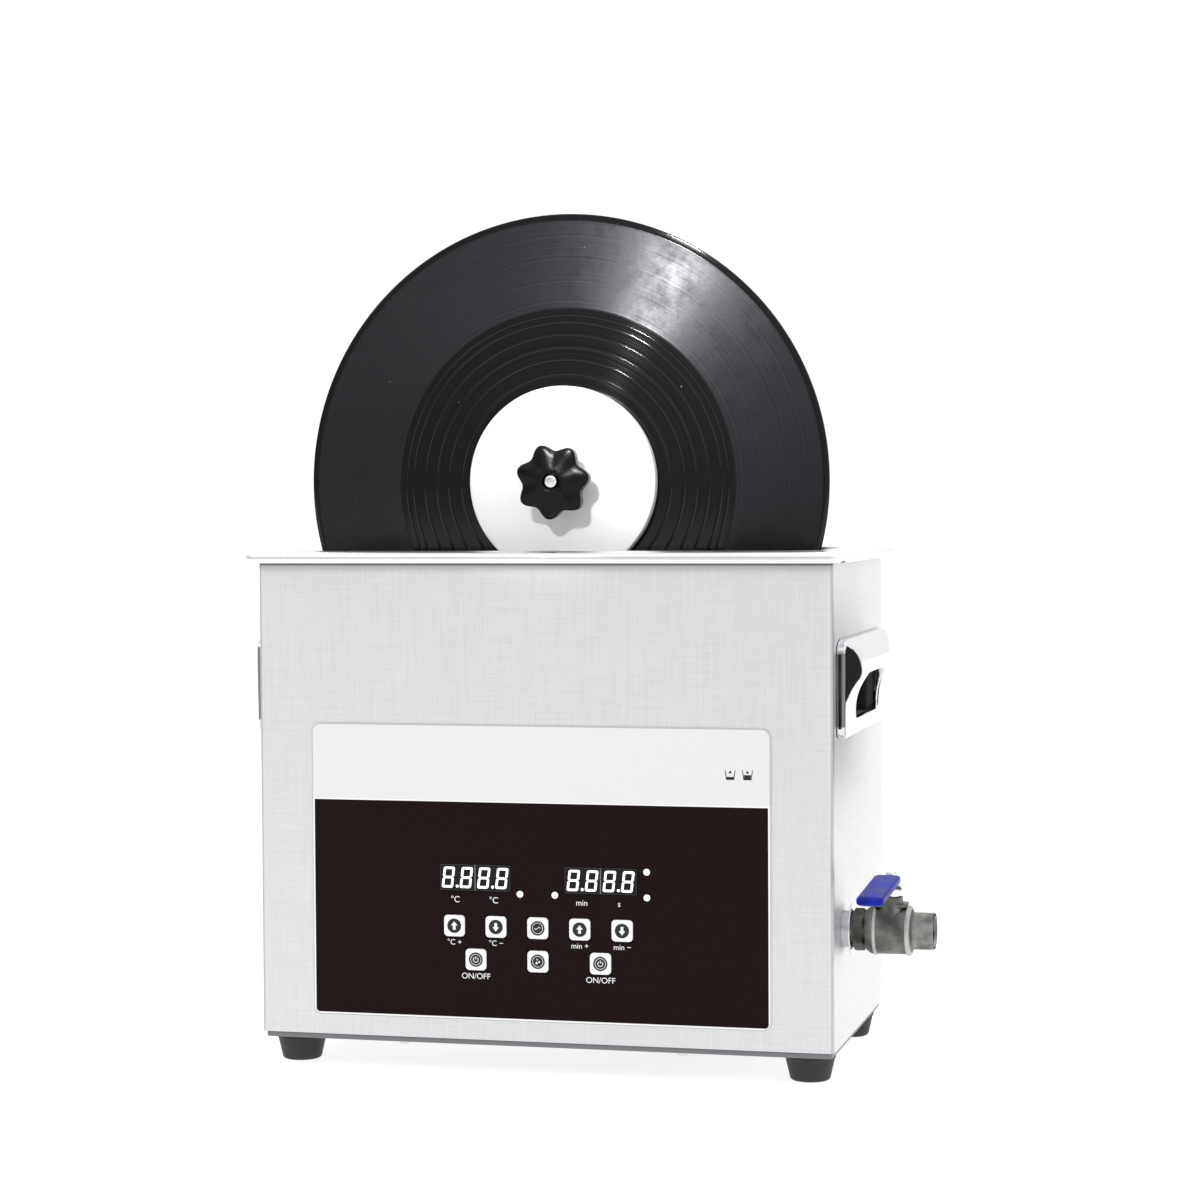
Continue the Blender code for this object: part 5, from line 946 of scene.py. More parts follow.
def make_key(word):
    """One key: a rounded square pillow with its round icon in black and white."""
    low, high = corners("key_" + word)
    centre, half = (low + high) / 2, (high - low)[[X, Z]] / 2
    front, body = low[Y], word + "_key"
    skirt = front + KEY_SKIRT
    section = eased([(-half[0], front), (0.0, front), (0.0, skirt), (-half[0], skirt)], KEY_EASE)
    key = surface("pillow_key_" + word, carried_grid(section, half, centre, Y, KEY_CORNER))
    settle(key, body, KEY_WHITE, "key_film", "key_" + word)
    ink_level, mark_level = (front + PRINT, front - PRINT), (front, front - 2 * PRINT)
    icon = KEY_ICONS[word]
    if icon in ("up", "down"):
        arrow = ARROW_SHARES * ARROW_HALF * (1, 1 if icon == "up" else -1)
        arrow = arrow if icon == "up" else arrow[::-1]
        printed("icon_ground_" + word, body, BLACK_INK, "key_film",
                [prism(disc(ICON_RADIUS), centre, ink_level)])
        printed("icon_mark_" + word, body, WHITE_INK, "key_film", [prism(arrow, centre, mark_level)])
        return
    ring = band(disc(ICON_RADIUS), disc(ICON_RADIUS * ICON_RING), centre, ink_level)
    printed("icon_ground_" + word, body, BLACK_INK, "key_film",
            [prism(disc(ICON_RADIUS * ICON_CORE), centre, ink_level)], [ring])
    printed("icon_mark_" + word, body, WHITE_INK, "key_film",
            [prism(mark, centre, mark_level) for mark in icon_marks(icon)])


DIGIT_WIDTH = 0.0065
DIGIT_HEIGHT = 0.01165
STROKE = 0.00135
DIGIT_SLANT = 0.12
DIGIT_STEP = 0.00515
DIGIT_CORNER = 0.0012
WINDOW_CORNER = 0.00035
DOT_RADIUS = 0.00085
DOT_STEPS = 20
DOT_DROP = 0.00485
MODULE_LINE = 0.0006
OUTER_LINE = 0.0004


def leaned(loop):
    """A loop leaned to the right in step with its height."""
    return np.column_stack([loop[:, 0] + DIGIT_SLANT * loop[:, 1], loop[:, 1]])


def eight(centre, level):
    """A figure eight: two rounded rings, one on the other, whose windows leave the same stroke all
    round and one stroke between them."""
    half, quarter = DIGIT_WIDTH / 2, DIGIT_HEIGHT / 4
    window = (quarter * 4 - STROKE * 3) / 4
    outer = rounded_loop(half, quarter, DIGIT_CORNER)
    inner = rounded_loop(half - STROKE, window, WINDOW_CORNER)
    rings = []
    for side in (-1, 1):
        around = leaned(outer + (0.0, side * quarter))
        within = leaned(inner + (0.0, side * (window + STROKE / 2)))
        rings.append(band(around, within, centre, level))
    return rings


def make_display(word):
    """Display: a glossy lens over two modules of two lit figures and a point, with a thin line between
    the modules and a fainter one round them."""
    low, high = corners("display_" + word)
    centre, half = (low + high) / 2, (high - low)[[X, Z]] / 2
    settle(dressed("display_" + word, 0.0002), "chassis", LENS, "display_lens", "display_" + word)
    level = (low[Y], low[Y] - PRINT)
    digits, dots = [], []
    for side in (-1, 1):
        module = centre + (side * half[0] / 2, 0.0, 0.0)
        for place in (-1, 1):
            digits += eight(module + (place * DIGIT_STEP, 0.0, 0.0), level)
        dot = disc(DOT_RADIUS, count=DOT_STEPS)
        dots.append(prism(dot, module + (-DOT_RADIUS / 6, 0.0, -DOT_DROP), level))
    printed("digits_" + word, "chassis", SEGMENT, "display_lens", dots, digits)
    rule = rounded_loop(MODULE_LINE / 2, half[1] - OUTER_LINE, MODULE_LINE / 8)
    printed("display_divider_" + word, "chassis", GREY_INK, "display_lens", [prism(rule, centre, level)])
    outer = rounded_loop(half[0] - OUTER_LINE / 4, half[1] - OUTER_LINE / 4, OUTER_LINE)
    inner = rounded_loop(half[0] - OUTER_LINE, half[1] - OUTER_LINE, OUTER_LINE / 2)
    border = band(outer, inner, centre, level)
    printed("display_border_" + word, "chassis", FAINT_INK, "display_lens", bands=[border])


def on_panel(across, up):
    """A place on the film's front, from its lower left corner."""
    return np.array([FILM_LOW[X] + across, FILM_LOW[Y], FILM_LOW[Z] + up])


LAMP_OUTLINE = ((0.0, 0.0003), (0.0011, 0.00024), (0.0018, 0.00004), (0.0018, 0.0), (0.0, 0.0))
LAMP_PLACES = ((0.1200, 0.0704), (0.1398, 0.0704), (0.1914, 0.0844), (0.1915, 0.0704))
CAPTION_PLACES = (
    ("deg_set", "°C", 0.0830, 0.0665, 0.0034), ("deg_now", "°C", 0.1050, 0.0665, 0.0034),
    ("minutes", "min", 0.1550, 0.0665, 0.0032), ("seconds", "s", 0.1760, 0.0665, 0.0032),
    ("warmer", "°C +", 0.0824, 0.0428, 0.0030), ("cooler", "°C −", 0.1062, 0.0428, 0.0030),
    ("longer", "min +", 0.1538, 0.0428, 0.0030), ("shorter", "min −", 0.1776, 0.0428, 0.0030),
    ("heat_switch", "ON/OFF", 0.0946, 0.0243, 0.0032), ("run_switch", "ON/OFF", 0.1654, 0.0243, 0.0032))
PICTOGRAM_PLACES = ((0.2378, 0.1380), (0.2473, 0.1380))
CUP = np.array([(-1.0, 1.0), (-0.72, -0.9), (0.72, -0.9), (1.0, 1.0)])
CUP_OUTER, CUP_INNER, CUP_FLOOR = (0.0030, 0.0028), (0.0026, 0.0022), (0.0, 0.0006)
CUP_LIQUID = np.array([(-0.0020, 0.0002), (-0.0017, -0.0016), (0.0017, -0.0016), (0.0020, 0.0002)])
LOW_LIQUID, LOW_LIQUID_DROP = (1.0, 0.4), (0.0, -0.001)
DROP_RADIUS, DROP_RISE, DROP_STEPS = 0.0007, 0.0016, 16


def make_prints():
    """Lamps, short generic captions and two small level pictograms on the film."""
    level = (FILM_LOW[Y] + PRINT, FILM_LOW[Y] - PRINT)
    for index, (across, up) in enumerate(LAMP_PLACES):
        outline = [(radius, FILM_LOW[Y] - proud) for radius, proud in LAMP_OUTLINE]
        lamp_dome = turned(f"lamp_{index + 1}", outline, on_panel(across, up), Y, segments=CUTTER_SEGMENTS)
        settle(lamp_dome, "chassis", SEGMENT, "key_film")
    for name, text, across, up, height in CAPTION_PLACES:
        place = on_panel(across, up)
        lettering("caption_" + name, text, height, place, level, "chassis", WHITE_INK, "key_film")
    for index, (across, up) in enumerate(PICTOGRAM_PLACES):
        place = on_panel(across, up)
        walls = np.concatenate([CUP * CUP_OUTER, (CUP[::-1] * CUP_INNER) + CUP_FLOOR])
        liquid = CUP_LIQUID if index else CUP_LIQUID * LOW_LIQUID + LOW_LIQUID_DROP
        marks = [walls, liquid, disc(DROP_RADIUS, 0.0, DROP_RISE, DROP_STEPS)]
        printed(f"level_pictogram_{index + 1}", "chassis", BLACK_INK, "printed_film",
                [prism(mark, place, level) for mark in marks])


# Handles
HANDLE_WALL = 0.0012
HANDLE_PROUD = 0.0042
HANDLE_CORNER = 0.004
HANDLE_HEIGHT = 0.0505
HOOD_PROUD = 0.0110
HOOD_CROWN = 0.0505
HOOD_RAMP = 0.027
RAMP_POWER = 1.2
CHEEK_POWER = 2.5
GRIP_HALF = 0.0405
GRIP_LOW = 0.0085
GRIP_HEIGHT = 0.024
GRIP_CORNERS = (0.0145, 0.0145, 0.0042, 0.0042)
FOLD = 0.0013
ROLL = 0.0016
CREASE_BLEND = 0.0016
CROWN_FADE = 0.008
BULGE_POWER = 6
STRAIGHT_POINTS = 24
HANDLE_ROWS = 56
BACK_START, BACK_END = 0.02, 0.97


def blended(first, second, blend, sign):
    """Smooth lesser (sign -1) or greater (sign 1) of two heights: half their sum, with half the root
    of their squared difference and the squared blend added or taken."""
    return (first + second + sign * np.sqrt((first - second) ** 2 + blend ** 2)) / 2


def handle_height(across, up, lip, rise):
    """How far the pressing stands off the wall: the lesser of the hood's section (a cheek that rises
    by a power of its height, then a quarter of an ellipse) and its plan (a flat crown that falls by a
    power of the way to each end), never below the frame."""
    swell = HOOD_PROUD - HANDLE_PROUD
    cheek = HANDLE_PROUD + swell * np.clip((up - lip) / GRIP_HEIGHT + 1.0, 0.0, 1.0) ** CHEEK_POWER
    share = np.clip((up - lip) / rise, 0.0, 1.0)
    section = np.where(up < lip, cheek, HOOD_PROUD * np.sqrt(1 - share ** 2))
    ramp = np.clip((np.abs(across) - HOOD_CROWN) / HOOD_RAMP, 0.0, 1.0)
    plan = HOOD_PROUD - swell * ramp ** RAMP_POWER
    hood = blended(section, plan, CREASE_BLEND, -1)
    return blended(hood, HANDLE_PROUD, CREASE_BLEND / 2, 1)


def make_handle(word, side):
    """Handle pressing: rows of loops from the finger opening out to the frame's outline, raised by
    the height, with a rolled edge at the opening, a folded edge at the wall and a back face."""
    low, high = corners("handle_" + word)
    wall = CASING_HIGH[X] if side > 0 else CASING_LOW[X]
    middle_y = (low[Y] + high[Y]) / 2
    frame_half, frame_low = (high[Y] - low[Y]) / 2, low[Z]
    lip = frame_low + GRIP_LOW + GRIP_HEIGHT
    rise, over = high[Z] - lip, high[Z] - frame_low - HANDLE_HEIGHT
    grip = rounded_loop(GRIP_HALF, GRIP_HEIGHT / 2, GRIP_CORNERS, STRAIGHT_POINTS)
    outer = rounded_loop(frame_half, HANDLE_HEIGHT / 2, HANDLE_CORNER, STRAIGHT_POINTS)
    crown = np.clip((frame_half - np.abs(outer[:, 0])) / CROWN_FADE, 0.0, 1.0)
    upper = np.clip(outer[:, 1] / (HANDLE_HEIGHT / 2), 0.0, 1.0)
    bulge = crown ** 2 * (3 - 2 * crown) * upper ** BULGE_POWER
    outer[:, 1] += over * bulge
    grip[:, 1] += frame_low + GRIP_LOW + GRIP_HEIGHT / 2
    outer[:, 1] += frame_low + HANDLE_HEIGHT / 2
    gap = np.linalg.norm(outer - grip, axis=1)
    share = (1 - np.cos(np.linspace(0.0, np.pi, HANDLE_ROWS))) / 2
    flat = grip[None] + share[:, None, None] * (outer - grip)[None]
    height = handle_height(flat[..., 0], flat[..., 1], lip, rise)
    from_grip, from_wall = share[:, None] * gap, (1 - share[:, None]) * gap
    fold = FOLD - np.sqrt(np.maximum(FOLD ** 2 - np.maximum(FOLD - from_wall, 0.0) ** 2, 0.0))
    roll = ROLL - np.sqrt(np.maximum(ROLL ** 2 - np.maximum(ROLL - from_grip, 0.0) ** 2, 0.0))
    front = np.maximum(height - fold - roll, OVERRUN / 4)
    inset = np.clip(share, BACK_START, BACK_END)[:, None, None]
    back_flat = grip[None] + inset * (outer - grip)[None]
    back = np.maximum(front - HANDLE_WALL, OVERRUN / 5)
    rows = [np.full_like(front[:1], OVERRUN / 5), front[::-1]]
    flats = [outer[None], flat[::-1]]
    rows += [front[:1] - ROLL, back]
    flats += [grip[None], back_flat]
    height, flat = np.concatenate(rows), np.concatenate(flats)
    grid = np.empty((*height.shape, 3))
    grid[..., X] = wall + side * (height + FIT_GAP)
    grid[..., Y], grid[..., Z] = middle_y + flat[..., 0], flat[..., 1]
    handle = surface("handle_pressing_" + word, grid, along=True)
    settle(handle, "chassis", MIRROR, "polished_stainless", "handle_" + word)
    settle(dressed("handle_liner_" + word), "chassis", ABS, "black_plastic", "handle_liner_" + word)


# Drain valve
PIPE_RADIUS = 0.010
PIPE_BEND = 0.018
PIPE_START = 0.001
PIPE_SEGMENTS = 64
BEND_STEPS = 20
NIPPLE_RADIUS = 0.0077
FLANGE_THICKNESS = 0.0016
WASHER_EASE = 0.0004


def make_pipe():
    """Drain elbow under the bath: the CAD pipe's route with a smooth round section, and the washer."""
    low, high = corners("drain_elbow")
    shoulder = corners("drain_washer")[0][X] - FIT_GAP
    inlet_x, level = low[X] + DRAIN_FLANGE / 2, PIPE_CENTRE[Z]
    turn = np.linspace(0.0, np.pi / 2, BEND_STEPS)
    arc = np.column_stack([inlet_x + PIPE_BEND - PIPE_BEND * np.cos(turn),
                           level + PIPE_BEND - PIPE_BEND * np.sin(turn)])
    start = [(inlet_x, high[Z]), (inlet_x, high[Z] - PIPE_START)]
    route = np.vstack([start, arc, [(shoulder, level)]])
    heading = np.gradient(route, axis=0)
    heading /= np.linalg.norm(heading, axis=1)[:, None]
    normal = np.column_stack([-heading[:, 1], heading[:, 0]])
    spin = np.linspace(0.0, 2 * np.pi, PIPE_SEGMENTS, endpoint=False)
    grid = np.empty((len(route), PIPE_SEGMENTS, 3))
    grid[..., X] = route[:, :1] + PIPE_RADIUS * normal[:, :1] * np.cos(spin)
    grid[..., Y] = PIPE_CENTRE[Y] + PIPE_RADIUS * np.sin(spin)
    grid[..., Z] = route[:, 1:] + PIPE_RADIUS * normal[:, 1:] * np.cos(spin)
    settle(surface("drain_pipe", grid), "chassis", PIPE, "polished_stainless", "drain_elbow")
    under, edge = high[Z] - FLANGE_THICKNESS, DRAIN_FLANGE / 2
    outline = [(0.0, under), (edge, under), (edge, high[Z]), (0.0, high[Z])]
    flange = turned("drain_flange", outline, (inlet_x, PIPE_CENTRE[Y], 0.0), Z)
    settle(flange, "chassis", BUFFED, "polished_stainless")
    outline = [(0.0, shoulder), (NIPPLE_RADIUS, shoulder), (NIPPLE_RADIUS, high[X]), (0.0, high[X])]
    nipple = turned("drain_nipple", outline, PIPE_CENTRE, X)
    settle(nipple, "chassis", BUFFED, "polished_stainless")
    low, high = corners("drain_washer")
    outline = sleeve_outline(NIPPLE_RADIUS, (high - low)[Z] / 2, low[X], high[X])
    washer = turned("drain_washer_ring", eased(outline, WASHER_EASE, True), PIPE_CENTRE, X, ring=True)
    settle(washer, "chassis", TURNED, "polished_stainless", "drain_washer")


def sleeve_outline(inner, outer, start, end):
    """Closed outline of a plain ring between two radii and two stations."""
    return [(inner, start), (outer, start), (outer, end), (inner, end)]


HEX_SIDES = 6
NUT_CHAMFER = 0.96
NUT_CORNER = 0.985
NUT_ANGLE = math.radians(30)


def hex_grid(flats, low, high, bore, centre, axis):
    """Hexagon nut: its radius is half the flats over the cosine of the turn from each flat's middle,
    cut by a cone at both ends, with a round bore."""
    turn = np.linspace(0.0, 2 * np.pi, NUT_SEGMENTS, endpoint=False)
    step = 2 * np.pi / HEX_SIDES
    hexagon = flats / 2 / np.cos((turn + step / 2) % step - step / 2)
    hexagon = np.minimum(hexagon, flats / 2 / np.cos(step / 2) * NUT_CORNER)
    face = np.full(NUT_SEGMENTS, flats / 2 * NUT_CHAMFER)
    drop = (hexagon - face) * math.tan(NUT_ANGLE)
    inner = np.full(NUT_SEGMENTS, bore)
    radius = np.stack([inner, face, hexagon, hexagon, face, inner])
    flat = np.zeros(NUT_SEGMENTS)
    station = np.stack([flat + low, flat + low, low + drop, high - drop, flat + high, flat + high])
    first, second = [side for side in (X, Y, Z) if side != axis]
    grid = np.empty((*radius.shape, 3))
    grid[..., axis] = station
    grid[..., first] = centre[first] + radius * np.cos(turn)
    grid[..., second] = centre[second] + radius * np.sin(turn)
    return grid


RIDGE_RADIUS = 0.0136
RIDGE_SINK = 0.001
RIDGE_SLOPE = 0.0006
RIDGE_FROM_PORT = 0.0030
INNER_RIDGE, OUTER_RIDGE = 0.0016, 0.0022
BARREL_RADIUS = 0.0129
BARREL_BORE, SEAT_BORE = 0.0074, 0.0045
BARREL_EASE = 0.0005
SEAT_DEPTH = 0.012
CAP_FLATS = 0.0205
CAP_HEX_LENGTH, CAP_HEX_OVERLAP = 0.0064, 0.0004
CAP_BORE = 0.0078
CAP_ROOT_RADIUS, CAP_COLLAR_RADIUS = 0.0104, 0.0131
CAP_FLARE = 0.0036
CAP_EASE = (0.0002, 0.0008, 0.0012, 0.0005, 0.0002)
PORT_RADIUS = 0.01025
PORT_LENGTH = 0.0120
PORT_FILLET, PORT_STEP, PORT_ROOT = 0.001, 0.0006, 0.0008
PORT_BORE = 0.0078
PORT_THREAD_DEPTH = 0.0108
PORT_THREAD_PITCH = 0.0018
PORT_THREAD_HEIGHT = 0.0009
VALVE_WAY = 0.004


def make_valve_shell():
    """End cap with its hexagon and flaring collar, and the valve body with ridges, port and neck."""
    low, high = corners("valve_end_cap")
    hex_end = low[X] + CAP_HEX_LENGTH
    grid = hex_grid(CAP_FLATS, low[X], hex_end + CAP_HEX_OVERLAP, CAP_BORE, PIPE_CENTRE, X)
    settle(surface("cap_hexagon", grid, along=True), "chassis", HEXAGON, "cast_stainless", "valve_end_cap")
    outline = [(CAP_BORE, hex_end), (CAP_ROOT_RADIUS, hex_end), (CAP_COLLAR_RADIUS, hex_end + CAP_FLARE)]
    outline += [(CAP_COLLAR_RADIUS, high[X]), (VALVE_WAY, high[X])]
    collar = turned("cap_collar", eased(outline, CAP_EASE, True), PIPE_CENTRE, X, ring=True)
    settle(collar, "chassis", CASTING, "cast_stainless")
    low, high = corners("valve_body")
    port, seat = high[X] - PORT_LENGTH, low[X] + SEAT_DEPTH
    outline = [(BARREL_BORE, low[X]), (BARREL_RADIUS, low[X]), (BARREL_RADIUS, port - PORT_FILLET)]
    outline += [(PORT_RADIUS, port + PORT_STEP), (PORT_RADIUS, port + PORT_ROOT)]
    outline += [(SEAT_BORE, port + PORT_ROOT), (SEAT_BORE, seat), (BARREL_BORE, seat)]
    body = turned("valve_barrel", eased(outline, BARREL_EASE, True), PIPE_CENTRE, X, ring=True)
    settle(body, "chassis", CASTING, "cast_stainless", "valve_body")
    ridges = (("inner", low[X], INNER_RIDGE), ("outer", port - RIDGE_FROM_PORT, OUTER_RIDGE))
    for name, start, width in ridges:
        root = BARREL_RADIUS - RIDGE_SINK
        outline = [(root, start), (RIDGE_RADIUS, start), (RIDGE_RADIUS, start + width),
                   (root, start + width + RIDGE_SLOPE)]
        ring = turned("valve_ridge_" + name, eased(outline, BARREL_EASE, True), PIPE_CENTRE, X, ring=True)
        settle(ring, "chassis", RIDGE, "polished_stainless")
    make_port(port, high[X])
    make_neck()


PORT_SIDES = 8
PORT_HALF_FLATS = 0.0098
PORT_EDGE = 0.0008
PORT_FACE_RADIUS = 0.0097
PORT_FACE_BORE = 0.0004
THREAD_START = 0.0006
THREAD_STEPS = 72
LIP_OUTLINE = ((0.0084, 0.0002), (0.0097, 0.0002), (0.0096, 0.0), (0.0085, 0.0))


def make_port(start, end):
    """Outlet port: an octagon outside with a bright lip, and a screw thread inside, whose radius falls
    and climbs once for each pitch along the bore while its phase follows the turn."""
    turn = np.linspace(0.0, 2 * np.pi, NUT_SEGMENTS, endpoint=False)
    step = 2 * np.pi / PORT_SIDES
    octagon = np.minimum(PORT_HALF_FLATS / np.cos((turn + step / 2) % step - step / 2), PORT_RADIUS)
    depth = np.linspace(end - THREAD_START, end - PORT_THREAD_DEPTH, THREAD_STEPS)
    phase = (depth[:, None] / PORT_THREAD_PITCH + turn / (2 * np.pi)) % 1.0
    thread = PORT_BORE - PORT_THREAD_HEIGHT * (1 - np.abs(2 * phase - 1))
    face = np.full(NUT_SEGMENTS, PORT_FACE_RADIUS)
    mouth = np.full(NUT_SEGMENTS, PORT_BORE + PORT_FACE_BORE)
    rows = [(octagon, start), (octagon, end - PORT_EDGE), (face, end), (mouth, end)]
    way = np.full(NUT_SEGMENTS, VALVE_WAY)
    radius = np.concatenate([[row for row, _ in rows], thread, [way] * 2])
    station = [at for _, at in rows] + list(depth) + [end - PORT_THREAD_DEPTH, start]
    grid = np.empty((len(station), NUT_SEGMENTS, 3))
    grid[..., X] = np.array(station)[:, None]
    grid[..., Y] = PIPE_CENTRE[Y] + radius * np.cos(turn)
    grid[..., Z] = PIPE_CENTRE[Z] + radius * np.sin(turn)
    settle(surface("valve_port", grid, along=True), "chassis", PORT, "cast_stainless")
    outline = [(radius, end - inward) for radius, inward in LIP_OUTLINE]
    lip = turned("valve_port_lip", outline, PIPE_CENTRE, X, ring=True)
    settle(lip, "chassis", TURNED, "polished_stainless")


NECK_ROOT_SHARE = 0.62
NECK_RADIUS = 0.00625
NECK_FLARE, NECK_POWER = 0.0042, 2.2
NECK_STEPS = 16
STOP_THICKNESS = 0.002
STOP_HALF = (0.009, 0.006)
STOP_CORNER = 0.002
STOP_EASE = (0.0, 0.0003, 0.0005, 0.0)


def make_neck():
    """Stem neck: a bell that flares into the barrel by a power of the way down, and the stop plate
    with its two ears."""
    nut_low = corners("packing_nut")[0][Z]
    top, root = nut_low - FIT_GAP, PIPE_CENTRE[Z] + BARREL_RADIUS * NECK_ROOT_SHARE
    share = np.linspace(0.0, 1.0, NECK_STEPS)
    radius = NECK_RADIUS + NECK_FLARE * (1 - share) ** NECK_POWER
    bell = np.column_stack([radius, root + share * (top - root)])
    outline = np.vstack([[(0.0, root)], bell, [(0.0, top)]])
    settle(turned("valve_neck", outline, STEM_CENTRE, Z), "chassis", CASTING, "cast_stainless")
    plate, inner = PIPE_CENTRE[Z] + BARREL_RADIUS + FIT_GAP, -STOP_HALF[1]
    over = plate + STOP_THICKNESS
    section = eased([(inner, plate), (0.0, plate), (0.0, over), (inner, over)], STOP_EASE)
    grid = carried_grid(section, STOP_HALF, STEM_CENTRE, Z, STOP_CORNER)
    settle(surface("valve_stop_plate", grid), "chassis", CASTING, "cast_stainless")


RIBBON_SEGMENTS = 48


def ribbon(name, out, up, half_width, half_thickness, power):
    """A bar along a path of (out, up) points from the stem: at each point a superellipse of given half
    width and thickness, its corners squarer as the power rises."""
    turn = np.linspace(0.0, 2 * np.pi, RIBBON_SEGMENTS, endpoint=False)
    across = np.sign(np.cos(turn)) * np.abs(np.cos(turn)) ** (2 / power)
    over = np.sign(np.sin(turn)) * np.abs(np.sin(turn)) ** (2 / power)
    slope_out, slope_up = np.gradient(out), np.gradient(up)
    length = np.hypot(slope_out, slope_up)
    grid = np.empty((len(out), RIBBON_SEGMENTS, 3))
    grid[..., X] = STEM_CENTRE[X] + half_width[:, None] * across
    lean_out, lean_up = -slope_up / length, slope_out / length
    grid[..., Y] = STEM_CENTRE[Y] - (out[:, None] + (lean_out * half_thickness)[:, None] * over)
    grid[..., Z] = up[:, None] + (lean_up * half_thickness)[:, None] * over
    return surface(name, grid)


STEM_RADIUS, STEM_BORE = 0.003, 0.0031
STEM_EASE = (0.0, 0.0004, 0.0006, 0.0)
NUT_FLATS = {"packing_nut": 0.0115, "lever_nut": 0.0095}
LEVER_HALF_THICKNESS = 0.0011
LEVER_CORNER_POWER = 7.0
LEVER_RUNS = ((-0.0075, -0.005, 8), (-0.004, 0.018, 40), (0.02, 0.079, 12))
CRANK_START, CRANK_LENGTH, CRANK_RISE = 0.0065, 0.007, 0.0058
DROOP_START, DROOP_LENGTH, DROOP = 0.0125, 0.0665, 0.0040
HUB_START, HUB_LENGTH = -0.0015, 0.0062
HUB_HALF_WIDTH, ARM_NARROWING = 0.0070, 0.0015
SLEEVE_START, SLEEVE_LENGTH, SLEEVE_STEPS = 0.0140, 0.0668, 72
SLEEVE_TIP_START, SLEEVE_TIP_LENGTH = 0.0748, 0.0060
SLEEVE_ROOT_END, SLEEVE_ROOT_LENGTH = 0.0162, 0.0022
SLEEVE_HALF_WIDTH, SLEEVE_HALF_THICKNESS = 0.0073, 0.0026
SLEEVE_CORNER_POWER = 3.6
LEAST_SHARE = 0.02


def round_end(reach):
    """Quarter circle's height over a share of its radius, flat before it and nothing past it."""
    return np.sqrt(np.clip(1 - np.clip(reach, 0.0, 1.0) ** 2, 0.0, 1.0))


def make_lever():
    """Stem, nuts, cranked lever and its blue sleeve, which turn together."""
    low, high = corners("valve_stem")
    outline = [(0.0, low[Z]), (STEM_RADIUS, low[Z]), (STEM_RADIUS, high[Z]), (0.0, high[Z])]
    stem = turned("lever_stem", eased(outline, STEM_EASE), STEM_CENTRE, Z, segments=SMALL_SEGMENTS)
    settle(stem, "valve_handle", TURNED, "polished_stainless", "valve_stem")
    for node, flats in NUT_FLATS.items():
        low, high = corners(node)
        grid = hex_grid(flats, low[Z], high[Z], STEM_BORE, STEM_CENTRE, Z)
        turning = frame["record"]["behaviour"]["bodies"]["valve_handle"]
        body = "valve_handle" if node in turning else "chassis"
        settle(surface(node + "_hexagon", grid, along=True), body, TURNED, "polished_stainless", node)
    level = corners("lever_nut")[0][Z] - FIT_GAP - LEVER_HALF_THICKNESS
    make_lever_arm(level)
    make_sleeve(level)


def make_lever_arm(level):
    """Lever: a round hub, a step up over the nut and an arm that droops evenly."""
    out = np.concatenate([np.linspace(*run) for run in LEVER_RUNS])
    crank = np.clip((out - CRANK_START) / CRANK_LENGTH, 0.0, 1.0)
    crank = crank ** 2 * (3 - 2 * crank)
    up = level + CRANK_RISE * crank - DROOP * np.clip((out - DROOP_START) / DROOP_LENGTH, 0.0, 1.0)
    hub = np.sqrt(np.clip(1 - ((HUB_START - out) / HUB_LENGTH) ** 2, LEAST_SHARE, 1.0))
    width = np.where(out < HUB_START, HUB_HALF_WIDTH * hub, HUB_HALF_WIDTH - ARM_NARROWING * crank)
    thickness = np.full(len(out), LEVER_HALF_THICKNESS)
    lever = ribbon("lever_arm", out, up, width, thickness, LEVER_CORNER_POWER)
    settle(lever, "valve_handle", MIRROR, "polished_stainless", "valve_lever")


def make_sleeve(level):
    """Sleeve along the arm, with a blunt root and a round tip."""
    out = SLEEVE_START + SLEEVE_LENGTH * (1 - np.cos(np.linspace(0.0, np.pi, SLEEVE_STEPS))) / 2
    up = level + CRANK_RISE - DROOP * (out - DROOP_START) / DROOP_LENGTH
    tip = round_end((out - SLEEVE_TIP_START) / SLEEVE_TIP_LENGTH)
    root = round_end((SLEEVE_ROOT_END - out) / SLEEVE_ROOT_LENGTH)
    width = SLEEVE_HALF_WIDTH * np.maximum(tip ** 0.7 * root ** 0.4, LEAST_SHARE)
    thickness = SLEEVE_HALF_THICKNESS * np.maximum(tip * root ** 0.5, LEAST_SHARE)
    sleeve = ribbon("dipped_sleeve", out, up, width, thickness, SLEEVE_CORNER_POWER)
    settle(sleeve, "valve_handle", SLEEVE, "blue_vinyl_sleeve", "lever_sleeve")


# Record, discs and knob
TRACK_RINGS = (0.0610, 0.0690, 0.0760, 0.0830, 0.0900, 0.0940, 0.0985, 0.1470)
RING_HALF = 0.0004
RING_HEIGHT = 0.00009
GROOVE_SINK = 0.00022
LABEL_EDGE = 0.050
LABEL_BLEND = 0.0002
BEAD_START = 0.1470
BEAD_BLEND = 0.0006
RIM_ROUND, RIM_CLEAR, RIM_STEPS = 0.0006, 0.0005, 11
RECORD_HOLE = 0.0038
RECORD_STEPS, RING_STEPS, RING_REACH = 50, 13, 3
RECORD_SEGMENTS = 224


